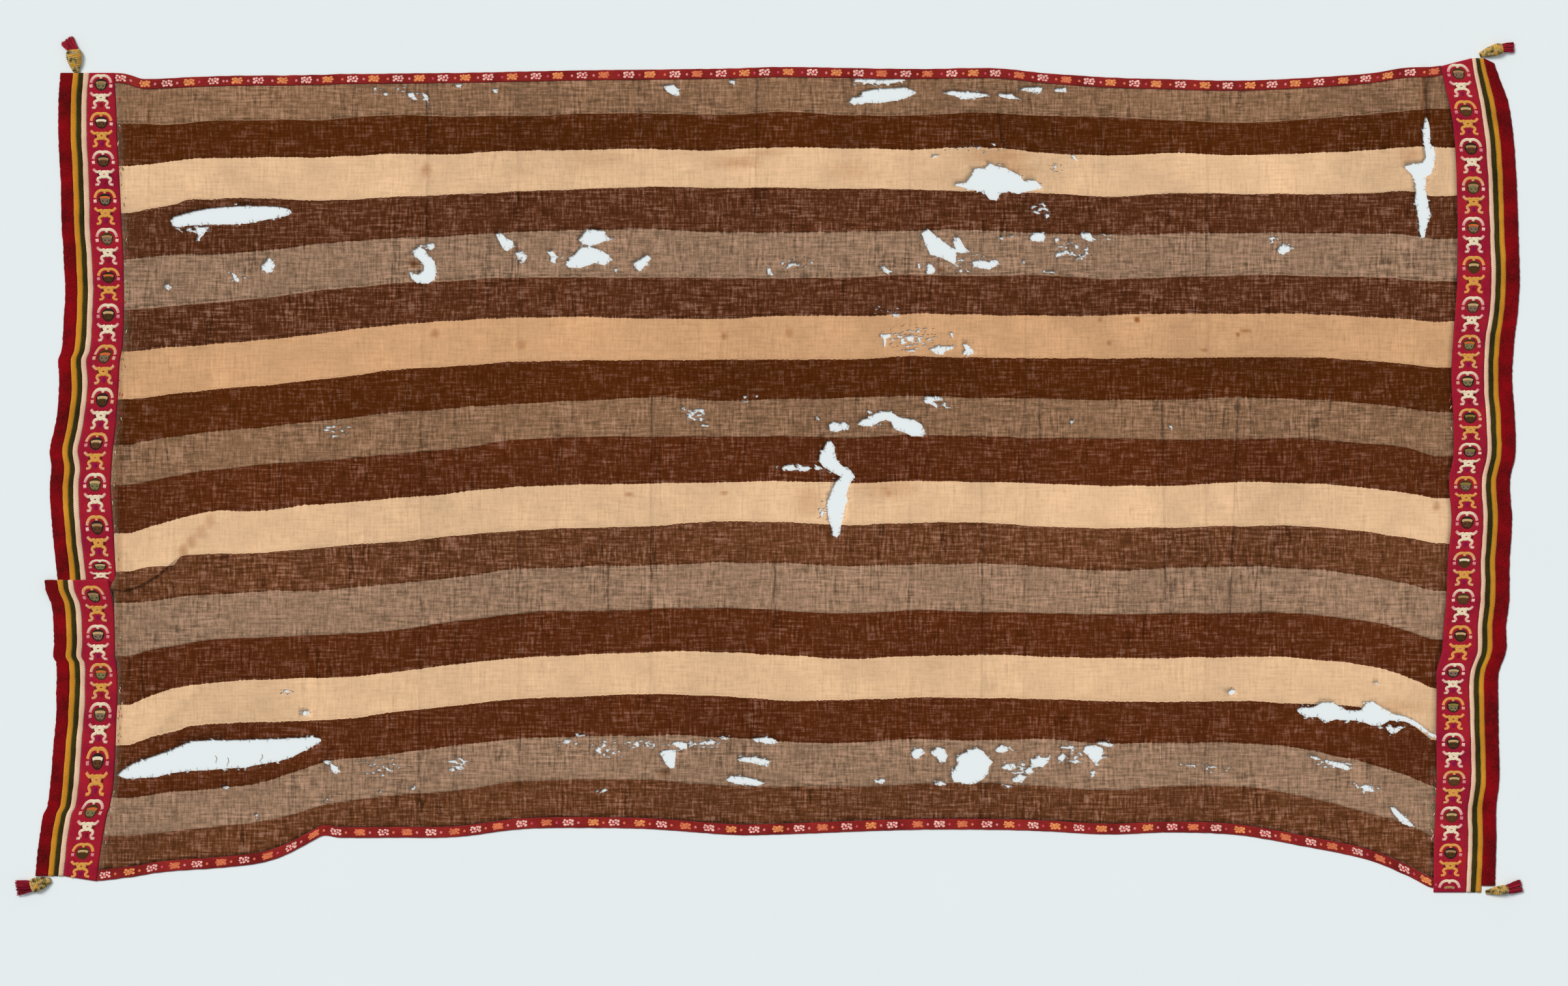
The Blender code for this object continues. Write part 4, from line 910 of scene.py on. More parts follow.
def floor_paint(colour):
    """Flat matt emulsion: pale, with only the faintest roller mottle."""
    made, tree, shader, spot = new_material("matt_emulsion_floor", 0.95, 0.0)
    mottle = even_noise(tree, spot, FLOOR_MOTTLE, 3.0)
    tone = calc(tree, "MULTIPLY_ADD", mottle, 0.03, 0.985)
    tree.links.new(toned(tree, tuple(colour)[:3], tone), shader.inputs["Base Color"])
    return made


def add_object(name, data):
    """A new object in the scene for a mesh, a light or a camera."""
    made = bpy.data.objects.new(name, data)
    bpy.context.scene.collection.objects.link(made)
    return made


def add_piece(name, points, faces, finish, smooth=True):
    """A mesh object of world points and faces, turned so that its faces point out."""
    mesh = bpy.data.meshes.new(name)
    mesh.from_pydata(points, [], faces)
    bm = bmesh.new()
    bm.from_mesh(mesh)
    if bm.calc_volume(signed=True) < 0:
        bmesh.ops.reverse_faces(bm, faces=bm.faces)
    bm.to_mesh(mesh)
    bm.free()
    mesh.materials.append(finish)
    mesh.polygons.foreach_set("use_smooth", [smooth] * len(mesh.polygons))
    return add_object(name, mesh)


def give_values(piece, name, values, kind="FLOAT", domain="POINT"):
    """Stores one value or colour for each point or face, for the material to read."""
    made = piece.data.attributes.new(name, kind, domain)
    flat = np.asarray(values, dtype=np.float32).ravel()
    made.data.foreach_set("value" if kind == "FLOAT" else "color", flat)


def settle(piece, slot, *nodes):
    """Ties a piece to the root body, in place of the nodes that it stands for, which it hides; its slot
    is not used.
    """
    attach(piece, "root")
    if nodes:
        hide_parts(*nodes)
    return piece


def crease_wander(down):
    """How far a crease strays to the left of its straight line, at one distance down."""
    return 1.8 * noisy(0.0, down, 24, 8) + 0.8 * noisy(0.0, down, 9, 9)


def crease_lift(across, down):
    """How far old folds lift the ground cloth at a plan point, and how strong the creases' painted shade
    is there.
    """
    lift = 0.0
    near = 0.0
    wander = crease_wander(down)
    for crease in CREASES:
        run_x = crease.to_across - crease.from_across
        run_y = crease.to_down - crease.from_down
        off_x = across - crease.from_across + wander
        off_y = down - crease.from_down
        share = (off_x * run_x + off_y * run_y) / (run_x * run_x + run_y * run_y)
        share = held(share)
        away = math.hypot(off_x - run_x * share, off_y - run_y * share) / crease.half
        if away < 1.0:
            lift = max(lift, crease.height * (1 - away) ** 2)
            near = max(near, crease.dirt * (1 - away * 3))
    return lift, near


# The line where the cloth laps over itself beside the left fold, with its height there.
Lap = namedtuple("Lap", "across down height")
LAPS = [Lap(168, 903, 5.0), Lap(190, 906, 4.6), Lap(214, 899, 4.2), Lap(240, 884, 3.6),
        Lap(262, 866, 3.0), Lap(278, 851, 0.6)]
# How far it rises towards its line and falls beyond it, and the field that it stays in.
LAP_RISE = 30.0
LAP_FALL = 3.0
LAP_RIGHT = 300
LAP_TOP = 850
LAP_BOTTOM = 935
# Where the mesh has its rows beside the lap's line, and beside a crease in its half widths.
LAP_ROWS = (-24, -16, -8, -4, -1.5, -0.3, 0.8, 1.8, 3.2)
CREASE_ROWS = (-0.9, -0.3, 0.0, 0.3, 0.9)


def lap_lift(across, down):
    """The height of the lapped cloth: a slow rise to the lap line, then a sharp fall."""
    best = None
    for here, there in zip(LAPS, LAPS[1:]):
        run = Vector((there.across - here.across, there.down - here.down))
        off = Vector((across - here.across, down - here.down))
        share = held(off.dot(run) / run.length_squared)
        away = off - run * share
        if best is None or away.length < best[0]:
            side = run.x * off.y - run.y * off.x
            best = (away.length, side, between(here.height, there.height, share))
    length, side, height = best
    reach = LAP_FALL if side > 0 else LAP_RISE
    if length >= reach:
        return 0.0
    return height * (1 - (length / reach) ** 2) ** 2


def ground_height(across, down):
    """The height of the ground cloth's upper face, in millimetres."""
    rumple = 0.30 * noisy(across, down, 70, 1) + 0.20 * noisy(across, down * 0.2, 13, 2)
    rumple += 0.16 * noisy(across * 0.3, down, 11, 3) + 0.5
    lift = crease_lift(across, down)[0]
    if across < LAP_RIGHT and LAP_TOP < down < LAP_BOTTOM:
        lift = max(lift, lap_lift(across, down))
    return GROUND_THICK + 0.1 + max(rumple, 0.0) + lift


def sides_of(outline):
    """Each side of a closed outline, as the points that it runs from and to."""
    return zip(outline, outline[1:] + outline[:1])


def ragged(outline, seed):
    """A tear's outline with short steps and a frayed edge."""
    points = []
    for here, there in sides_of([Vector(spot) for spot in outline]):
        parts = max(1, round((there - here).length / RAG_STEP))
        for part in range(parts):
            spot = here.lerp(there, part / parts)
            spot.x += RAG_DEPTH * noisy(spot.x, spot.y, 3.0, seed)
            spot.y += RAG_DEPTH * noisy(spot.y, spot.x, 3.0, seed + 5)
            points.append(spot)
    return points


def inside(points, outline):
    """Which of many points lie inside an outline, as an array of booleans."""
    x = points[:, 0]
    y = points[:, 1]
    result = np.zeros(len(points), dtype=bool)
    for (ax, ay), (bx, by) in sides_of(outline):
        if ay == by:
            continue
        crosses = (ay > y) != (by > y)
        result ^= crosses & (x < (bx - ax) * (y - ay) / (by - ay) + ax)
    return result


def on_cloth(points, rim, tears):
    """Which of many points lie inside the ground cloth's rim and in none of its tears."""
    result = inside(points, rim)
    for tear in tears:
        result &= ~inside(points, tear)
    return result


class ClothMap:
    """Where the ground cloth's columns and stripes lie between its seams."""

    low, high = 60, 1400
    first, last = 140.0, 2264.0
    pitch = 4.0

    def __init__(self, step):
        downs = range(self.low, self.high)
        self.left = np.array([seam_place(-1, d) for d in downs]) + GAP / 2
        self.right = np.array([seam_place(1, d) for d in downs]) - GAP / 2
        places = np.arange(self.first, self.last, self.pitch)
        self.lines = np.array([stripe_lines(across) for across in places])
        self.columns = round((self.right.mean() - self.left.mean()) / step)

    def seams(self, down):
        """The cloth's left and right limit at a place down."""
        at = down - self.low
        k = min(max(int(at), 0), len(self.left) - 2)
        return [between(line[k], line[k + 1], at - k) for line in (self.left, self.right)]

    def lines_at(self, across):
        """How far down each line between stripes lies."""
        at = (across - self.first) / self.pitch
        k = min(max(int(at), 0), len(self.lines) - 2)
        return between(self.lines[k], self.lines[k + 1], at - k)

    def spot(self, column, stripe):
        """The plan point of a column, at a place counted in stripes from the top."""
        across = 178.0 + 2040.0 * column / self.columns  # a first guess, corrected three times
        for _ in range(3):
            lines = self.lines_at(across)
            k = min(int(stripe), len(lines) - 2)
            down = between(lines[k], lines[k + 1], stripe - k)
            left, right = self.seams(down)
            across = left + (right - left) * column / self.columns
        return across, down

    def stripe(self, across, down):
        """The place of a plan point counted in stripes from the top."""
        lines = self.lines_at(across)
        n = int(np.clip(np.searchsorted(lines, down) - 1, 0, len(lines) - 2))
        share = (down - lines[n]) / (lines[n + 1] - lines[n])
        return n + held(share)


def tree_of(spots):
    """A search tree that finds the nearest of many plan points."""
    made = kdtree.KDTree(len(spots))
    for k, spot in enumerate(spots):
        made.insert((spot.x, spot.y, 0.0), k)
    made.balance()
    return made


def ground_points(cloth, tears):
    """Plan points, edges and the outline of the ground cloth, for one triangulation."""
    fine = []
    for crease in CREASES:
        start = Vector((crease.from_across, crease.from_down))
        run = Vector((crease.to_across, crease.to_down)) - start
        side = Vector((-run.y, run.x)).normalized()
        parts = max(2, round(run.length / 5))
        for part in range(parts + 1):
            middle = start + run * part / parts
            middle.x -= crease_wander(middle.y)
            for away in CREASE_ROWS:
                fine.append(middle + side * away * crease.half)
    for patch in WORN_PATCHES + [blot for blot in STAINS_AND_SHADOWS if blot.wide < SMALL_MARK]:
        step = min(4.3, patch.wide / 2.5)
        for across in evenly(patch.across - patch.wide, patch.across + patch.wide, step):
            for down in evenly(patch.down - patch.high, patch.down + patch.high, step):
                fine.append(Vector((across + 0.3 * noisy(down, across, 2, 9), down)))
    for here, there in zip(LAPS, LAPS[1:]):
        start = Vector((here.across, here.down))
        run = Vector((there.across, there.down)) - start
        side = Vector((-run.y, run.x)).normalized()
        parts = max(2, round(run.length / 4))
        for part in range(parts):
            for away in LAP_ROWS:
                fine.append(start + run * part / parts + side * away)

    count = len(STRIPE_YARNS)
    top = [Vector(cloth.spot(i, 0.0)) for i in range(cloth.columns + 1)]
    bottom = [Vector(cloth.spot(i, float(count))) for i in range(cloth.columns + 1)]
    levels = [k / CLOTH_ROWS for k in range(1, count * CLOTH_ROWS)]
    right = [Vector(cloth.spot(cloth.columns, level)) for level in levels]
    left = [Vector(cloth.spot(0, level)) for level in levels]
    rim = top + right + bottom[::-1] + left[::-1]

    grid = [Vector(cloth.spot(i, level)) for i in range(1, cloth.columns) for level in levels]
    outlines = tears + [rim]
    fringe = tree_of([spot for outline in outlines for spot in outline])
    creased = tree_of(fine)
    fine = [s for k, s in enumerate(fine)
            if all(j >= k for _, j, _ in creased.find_range((s.x, s.y, 0.0), FINE_CLEAR))]
    kept = [s for s in grid if fringe.find((s.x, s.y, 0.0))[2] > GRID_CLEAR
            and creased.find((s.x, s.y, 0.0))[2] > GRID_CLEAR]
    loose = np.array([(s.x, s.y) for s in kept + fine])
    keep = on_cloth(loose, rim, tears)
    keep &= np.array([fringe.find((x, y, 0.0))[2] > EDGE_CLEAR for x, y in loose])
    loose = [Vector((x, y)) for x, y in loose[keep]]

    points = []
    edges = []
    for outline in outlines:
        first = len(points)
        points += outline
        edges += [(first + k, first + (k + 1) % len(outline)) for k in range(len(outline))]
    return points + loose, edges, rim, fringe


def seam_grey(across, down):
    """How greyed the ground cloth is beside its seams, from 0 to 1."""
    left = 1 - (across - seam_place(-1, down)) / GREY_WIDTH
    right = 1 - (seam_place(1, down) - across) / GREY_WIDTH
    if RIGHT_GREY_FROM < down < RIGHT_GREY_TO:
        left = max(left, right)
    return 0.5 * max(left, 0.0)


def marked(marks, across, down, falling):
    """The strongest of some oval marks at a plan point; falling says how fast each fades."""
    best = 0.0
    for mark in marks:
        off = math.hypot((across - mark.across) / mark.wide, (down - mark.down) / mark.high)
        best = max(best, mark.strength * max(1 - off * off * falling, 0.0))
    return best


def make_ground(settings):
    """The striped ground cloth with its tears, worn patches, folds and stains."""
    cloth = ClothMap(settings.cloth_step / MM)
    tears = [ragged(tear, k) for k, tear in enumerate(TEARS)]
    points, edges, rim, fringe = ground_points(cloth, tears)
    flat, _, triangles, _, _, _ = delaunay_2d_cdt(points, edges, [], 0, MERGE_CLEAR)
    plan = np.array([(s.x, s.y) for s in flat])
    triangles = np.array(triangles)
    middles = plan[triangles].mean(axis=1)
    triangles = triangles[on_cloth(middles, rim, tears)]
    used = np.unique(triangles)
    renumber = np.zeros(len(plan), dtype=int)
    renumber[used] = np.arange(len(used))
    plan = plan[used]
    faces = [tuple(int(renumber[k]) for k in triangle) for triangle in triangles]
    points = [place(x, y, ground_height(x, y)) for x, y in plan]

    holes = sum(len(tear) for tear in tears)
    rows = []
    for x, y in plan:
        _, nearest, away = fringe.find((x, y, 0.0))
        frayed = FRAY_STRENGTH * math.exp(-away / FRAY_REACH) if nearest < holes else 0.0
        worn = max(frayed, marked(WORN_PATCHES, x, y, 0.8))
        # Stains, and the painted shadow beside the pleat at the top right.
        stain = marked(STAINS_AND_SHADOWS, x, y, 1.0)
        # How much painted shade the creases put on this point.
        crease = max(crease_lift(x, y)[1], 0.0)
        rows.append((cloth.stripe(x, y), worn, stain, crease, seam_grey(x, y)))

    piece = add_piece("ground_weave", points, faces, ground_wool(settings))
    for name, values in zip(CLOTH_VALUES, zip(*rows)):
        give_values(piece, name, values)
    if piece.data.polygons[0].normal.z < 0:
        piece.data.flip_normals()
    body = piece.modifiers.new("cloth_thickness", "SOLIDIFY")
    body.thickness = GROUND_THICK * MM
    body.offset = -1.0
    return settle(piece, "ground", "ground_cloth")


# One station down a border: its place, the height of the layer there, and its seam and spine.
Step = namedtuple("Step", "down height seam spine")


def evenly(low, high, pitch):
    """Places from low to high, both included, about a pitch apart."""
    count = max(1, round((high - low) / pitch))
    return [low + (high - low) * k / count for k in range(count + 1)]


def left_run():
    """Stations down the left border and through its fold of three layers."""
    run = []
    for down in evenly(LEFT_ABOVE_FOLD[0].down, FOLD_LOW_TURN - FOLD_BEND, STATION_PITCH):
        here = border_at(LEFT_ABOVE_FOLD, down)
        run.append(Step(down, 0.0, here.seam, here.spine))
    under = border_at(LEFT_ABOVE_FOLD, FOLD_LOW_TURN)
    over = border_at(LEFT_BELOW_FOLD, FOLD_HIGH_TURN)
    turns = [math.radians(a) for a in (-54, -18, 18, 54, 90)]
    for turn in turns:
        down = FOLD_LOW_TURN - FOLD_BEND + FOLD_BEND * math.cos(turn)
        height = FOLD_PITCH / 2 * (1 + math.sin(turn))
        run.append(Step(down, height, under.seam, under.spine))
    for share in evenly(0.0, 1.0, 0.34)[1:]:
        down = between(FOLD_LOW_TURN - FOLD_BEND, FOLD_HIGH_TURN + FOLD_BEND, share)
        seam = between(under.seam, over.seam, share)
        run.append(Step(down, FOLD_PITCH, seam, between(under.spine, over.spine, share)))
    for turn in turns:
        down = FOLD_HIGH_TURN + FOLD_BEND - FOLD_BEND * math.cos(turn)
        height = FOLD_PITCH + FOLD_PITCH / 2 * (1 + math.sin(turn))
        run.append(Step(down, height, over.seam, over.spine))
    last = LEFT_BELOW_FOLD[-1].down
    for down in evenly(FOLD_HIGH_TURN + FOLD_BEND, last, STATION_PITCH)[1:]:
        here = border_at(LEFT_BELOW_FOLD, down)
        run.append(Step(down, fold_height(down), here.seam, here.spine))
    return run


def fold_height(down):
    """The height of the left border's top layer where it runs down off its fold."""
    return 2 * FOLD_PITCH * (1 - held((down - FOLD_LOW_TURN) / FOLD_RUN_OUT))


def right_run(last):
    """Stations down the right border, which lies flat."""
    run = []
    for down in evenly(RIGHT_BORDER[0].down, last, STATION_PITCH):
        here = border_at(RIGHT_BORDER, down)
        run.append(Step(down, 0.0, here.seam, here.spine))
    return run


def skin(rings, size, first=0):
    """The faces round a run of rings and over its two ends, each ring with the same size."""
    last = first + (rings - 1) * size
    faces = []
    for start in range(first, last, size):
        for i in range(size):
            k = (i + 1) % size
            faces.append((start + i, start + k, start + size + k, start + size + i))
    faces.append(tuple(range(first, first + size))[::-1])
    faces.append(tuple(range(last, last + size)))
    return faces


def loft(name, rings, finish, profile=()):
    """A closed skin over rings of points; a profile gives each its share of the width."""
    points = [spot for ring in rings for spot in ring]
    piece = add_piece(name, points, skin(len(rings), len(rings[0])), finish)
    if profile:
        give_values(piece, "side", [share for _ in rings for share, _ in profile])
    return piece


def ribbon(name, run, edge, profile, finish):
    """A narrow cloth along a run of stations.

    edge gives the plan point of a share of the width at a station; profile lists, around the
    section, each point's share of the width and its height above the layer's underside.
    """
    thick = max(height for _, height in profile)
    rings = []
    for j, step in enumerate(run):
        before = run[max(j - 1, 0)]
        after = run[min(j + 1, len(run) - 1)]
        ahead = Vector((after.down - before.down, after.height - before.height))
        up = Vector((-ahead.y, ahead.x)).normalized()
        ring = []
        for share, height in profile:
            across, down = edge(step, share)
            off = height - thick / 2
            ring.append(place(across, down + up.x * off, step.height + thick / 2 + up.y * off))
        rings.append(ring)
    return loft(name, rings, finish, profile)


def flat_profile(thick, points=9):
    """The section of a flat cloth: underside, then the upper side with softened edges."""
    under = [(k / (points - 1), 0.0) for k in range(points)]
    over = [(1.0, thick * 0.72)]
    over += [(1 - (k + 0.5) / (points - 1), thick) for k in range(points - 1)]
    over += [(0.0, thick * 0.72)]
    return under + over


def crowned_profile(thick, under, over, foot, power):
    """The section of a crowned cloth: a flat underside, then the rounded upper side.

    under and over say how many points each has, foot the share of the thickness that the long
    edges have, and power how soon it rises from there: the less, the sooner.
    """
    flat = [(k / (under - 1), 0.0) for k in range(under)]
    shares = [1 - k / (over - 1) for k in range(over)]
    return flat + [(share, thick * (foot + (1 - foot) * math.sin(math.pi * share) ** power))
                   for share in shares]


def band_length(run):
    """The laid-out length of a border, in metres."""
    pairs = zip(run, run[1:])
    return MM * sum(math.hypot(b.down - a.down, b.height - a.height) for a, b in pairs)


def line_wander(side, line, down):
    """How far the line between two stripes of a border wanders, in millimetres."""
    slow = 0.9 * noisy(line * 7 + side * 9, down, 34, 22)
    return slow + 0.6 * noisy(line * 40 + side * 9, down, 11, 21)


def make_band(side, outward, run, finish):
    """One figured band, from the ground cloth's seam to the border's spine."""
    def edge(step, share):
        seam = step.seam + outward * GAP / 2
        spine = step.spine - outward * (GAP / 2 - line_wander(outward, 0, step.down))
        return between(seam, spine, share), step.down + slant(outward, step.down) * (1 - share)

    piece = ribbon(f"{side}_band_weave", run, edge, flat_profile(BAND_THICK), finish)
    return settle(piece, "band", f"{side}_figured_band")


def make_strips(side, outward, run, finishes):
    """The three narrow stripes between the band and the edging of one border."""
    inner = 0.0
    made = []
    for line, (name, width, corded) in enumerate(STRIPS[side]):
        def edge(step, share, inner=inner, width=width, line=line):
            size = taper(outward, step.down)
            near = inner * size + GAP / 2 + line_wander(outward, line, step.down)
            far = (inner + width) * size - GAP / 2 + line_wander(outward, line + 1, step.down)
            return step.spine + outward * between(near, far, share), step.down

        profile = flat_profile(BAND_THICK, 5)
        if corded:
            profile = crowned_profile(CORDED_THICK, 9, 9, foot=0.55, power=0.6)
        piece = ribbon(f"{side}_{name}_cord", run, edge, profile, finishes[name])
        made.append(settle(piece, name, f"{side}_{name}"))
        inner += width
    return made


def make_edging(side, outward, run, finish):
    """The deep red edging with its ribs and loose, uneven outer edge."""
    inner = sum(width for _, width, _ in STRIPS[side])
    width = EDGING_WIDTHS[side]

    def edge(step, share):
        size = taper(outward, step.down)
        near = inner * size + GAP / 2 + line_wander(outward, 3, step.down)
        far = (inner + width) * size + 0.9 * noisy(0, step.down, 60, 31 + outward)
        far += 0.9 * noisy(0, step.down, 4.5, 33 + outward)
        down = step.down
        if outward > 0:
            down += EDGING_LEAD * share * fading(down - run[0].down, LEAD_LENGTH)
        return step.spine + outward * between(near, far, share), down

    profile = crowned_profile(EDGING_THICK, 11, 14, foot=0.62, power=0.4)
    piece = ribbon(f"{side}_edging_loops", run, edge, profile, finish)
    return settle(piece, "edging", f"{side}_red_edging")


def shaded(colour, shade):
    """A colour made darker or lighter by a factor."""
    return tuple(part * shade for part in colour[:3]) + (1.0,)


class YarnWork:
    """Raised pattern yarns gathered into one mesh, each with its own colour."""

    def __init__(self):
        self.points = []
        self.faces = []
        self.colours = []

    def stroke(self, spots, width, thick, colour, tip, where, from_middle=False):
        """A raised line of yarn through plan points, whose colour changes to its tip's.

        where gives a point's world place; from_middle says that both ends are tips.
        """
        first = len(self.points)
        count = len(spots)
        for j, spot in enumerate(spots):
            before = spots[max(j - 1, 0)]
            after = spots[min(j + 1, count - 1)]
            side = Vector((before.y - after.y, after.x - before.x)).normalized() * width / 2
            change = j / (count - 1)
            change = (abs(2 * change - 1) if from_middle else change) ** 1.5
            mixed = tuple(between(a, b, change) for a, b in zip(colour, tip))
            for share, height in ((-1.0, 0.0), (-0.6, thick), (0.6, thick), (1.0, 0.0)):
                plan = spot + side * share
                self.points.append(where(plan.x, plan.y, height))
                self.colours.append(mixed)
        self.faces += skin(count, 4, first)

    def blob(self, middle, wide, high, thick, colour, where, sides=14):
        """A raised oval patch of yarn."""
        first = len(self.points)
        for ring, height in ((1.0, 0.0), (0.72, thick)):
            for k in range(sides):
                turn = 2 * math.pi * k / sides
                wobble = 1 + 0.04 * math.sin(3 * turn + middle.y)
                u = middle.x + wide * ring * wobble * math.cos(turn)
                v = middle.y + high * ring * wobble * math.sin(turn)
                self.points.append(where(u, v, height))
                self.colours.append(colour)
        self.faces += skin(2, sides, first)

    def tube(self, spine, radius, colour, sides=3):
        """A thin thread through world points, narrower at its tip."""
        first = len(self.points)
        count = len(spine)
        for j, spot in enumerate(spine):
            ahead = (spine[min(j + 1, count - 1)] - spine[max(j - 1, 0)]).normalized()
            side = ahead.orthogonal().normalized()
            other = ahead.cross(side)
            size = radius * (1 - 0.45 * j / (count - 1))
            for k in range(sides):
                turn = 2 * math.pi * k / sides
                self.points.append(spot + (side * math.cos(turn) + other * math.sin(turn)) * size)
                self.colours.append(colour)
        self.faces += skin(count, sides, first)

    def piece(self, name, finish):
        """The gathered yarns as one object."""
        made = add_piece(name, self.points, self.faces, finish, smooth=False)
        give_values(made, "yarn", self.colours, "FLOAT_COLOR")
        return made


def bent(points, mirror):
    """A figure's stroke with soft corners, mirrored if asked."""
    stations = [float(k) for k in range(len(points))]
    steps = evenly(0.0, stations[-1], 0.34)
    across = [follow(stations, [p[0] for p in points], at) for at in steps]
    down = [follow(stations, [p[1] for p in points], at) for at in steps]
    sign = -1 if mirror else 1
    return [Vector((sign * u, v)) for u, v in zip(across, down)]


def figure_yarns(index, chance):
    """The yarns of one figure, which change from figure to figure."""
    crown = "white" if index % 2 == 0 else "yellow"
    return {
        "crown": crown,
        "tip": chance.choice(["rose", "rose", "blush"] if index % 2 == 0 else ["apricot", "blush"]),
        "body": crown,
        "foot": crown,
        "rim": chance.choice(["dark", "umber", "dark"]),
        "brow": chance.choice(["straw", "white", "olive", "tan", "orange", "straw"]),
        "face": chance.choice(["brown", "mole", "khaki", "grey", "umber", "khaki"]),
        "dots": chance.choice(["pink_white", "rose", "blush", "rose"]),
        "sash": chance.choice(["khaki", "pink", "crimson", "crimson"]),
        "patch": chance.choice(["magenta", "magenta", "crimson"]),
    }


def make_figures(side, outward, tops, hidden, finish):
    """Every woven figure of one band, as raised pattern yarn on its face."""
    chance = random.Random(7 if outward < 0 else 8)
    work = YarnWork()
    for index, (top, following) in enumerate(zip(tops, tops[1:])):
        scale = (following - top - FIGURE_GAP) / FIGURE_HEIGHT
        table = RIGHT_BORDER if outward > 0 else left_table(top + FIGURE_BROW)
        limit = hidden if (outward > 0 or top < hidden) else math.inf
        yarns = figure_yarns(index, chance)
        lean = chance.uniform(-0.8, 0.8)

        def where(u, v, height, top=top, scale=scale, table=table, lean=lean):
            down = top + v * scale
            here = border_at(table, down)
            middle = (here.seam + here.spine) / 2 + lean
            base = BAND_THICK
            if table is LEFT_BELOW_FOLD:
                base += fold_height(down)
            return place(middle + u, down, base - SUNK + height)

        for layer, stroke in enumerate(FIGURE_STROKES):
            plain = stroke.yarn in ("rim", "brow", "dots")
            tip = yarns[stroke.yarn] if plain else yarns["tip"]
            ways = [bent(stroke.points, False), bent(stroke.points, True)]
            lone = all(u == 0 for u, _ in stroke.points)
            middle_out = stroke.points[0][0] == 0 and not lone
            if middle_out:
                ways = [ways[1][::-1] + ways[0][1:]]
            for way in ways[:1] if lone else ways:
                spots = [s for s in way if top + s.y * scale < limit]
                if len(spots) > 1:
                    work.stroke(spots, stroke.width, STROKE_HEIGHT + STROKE_STEP * layer,
                                YARNS[yarns[stroke.yarn]], YARNS[tip], where, middle_out)
        for layer, blob in enumerate(FIGURE_BLOBS):
            if top + (blob.down + blob.high) * scale < limit:
                for across in {blob.across, -blob.across}:
                    work.blob(Vector((across, blob.down)), blob.wide, blob.high,
                              OVAL_HEIGHT + OVAL_STEP * layer, YARNS[yarns[blob.yarn]],
                              where, sides=18)
    piece = work.piece(f"{side}_figures", finish)
    return settle(piece, "band")


def tape_path(name):
    """Places across and down along the middle of a tape, trimmed at the borders' seams."""
    sign = 1 if name == "top" else -1
    run = []
    for across in evenly(LONG_EDGES[0].across, LONG_EDGES[-1].across, STATION_PITCH):
        down = long_edge(across, name) + sign * TAPE_WIDTHS[name] / 2
        if seam_place(-1, down) + GAP / 2 < across < seam_place(1, down) - GAP / 2:
            run.append((across, down))
    return run


def make_tape(name, finish):
    """The narrow red tape along one long edge of the ground cloth."""
    sign = 1 if name == "top" else -1
    path = tape_path(name)
    profile = flat_profile(TAPE_THICK, 6)
    rings = []
    last = len(path) - 1
    for j, (across, _) in enumerate(path):
        ring = []
        for share, height in profile:
            edge = long_edge(across, name)
            edge += 0.5 * noisy(across, 0, 14, 41 + sign) * (1 - share)
            down = edge + sign * TAPE_WIDTHS[name] * share
            at = across
            if j == 0:
                at = seam_place(-1, down) + GAP / 2
            elif j == last:
                at = seam_place(1, down) - GAP / 2
            ring.append(place(at, down, height + crease_lift(across, down)[0]))
        rings.append(ring)
    piece = loft(f"{name}_tape_weave", rings, finish, profile)
    return settle(piece, "tape", f"{name}_tape")


def make_motifs(name, finish):
    """The small repeated motifs of one tape, as raised pattern yarn."""
    sign = 1 if name == "top" else -1
    chance = random.Random(11 if sign > 0 else 12)
    work = YarnWork()
    path = tape_path(name)
    low, high = path[0][0] + 8, path[-1][0] - 8
    for k, middle in enumerate(evenly(low, high, MOTIF_PITCH)):
        middle += chance.uniform(-2.4, 2.4)
        main = YARNS[chance.choice(["apricot", "coral"]) if k % 2 else "pink_white"]
        flip = 1 if sign < 0 or middle < 330 else -1

        def where(u, v, height):
            down = long_edge(u, name) + sign * TAPE_WIDTHS[name] / 2 + v
            return place(u, down, TAPE_THICK - SUNK + height + crease_lift(u, down)[0])

        for layer, spot in enumerate(MOTIF_SPOTS):
            shade = chance.uniform(0.82, 1.12)
            dye = main if layer else YARNS["red" if main is YARNS["pink_white"] else "coral"]
            size = chance.uniform(0.85, 1.1)
            work.blob(Vector((middle + spot.across * flip, spot.down)), spot.wide * size,
                      spot.high * size, MOTIF_HEIGHT if layer else MOTIF_GROUND,
                      shaded(dye, shade), where, sides=10)
        dot = YARNS[chance.choice(["rose", "coral", "pink"])]
        work.blob(Vector((middle + MOTIF_DOT.across * flip, MOTIF_DOT.down)), MOTIF_DOT.wide,
                  MOTIF_DOT.high, DOT_HEIGHT, dot, where, sides=10)
    piece = work.piece(f"{name}_tape_motifs", finish)
    return settle(piece, "tape")


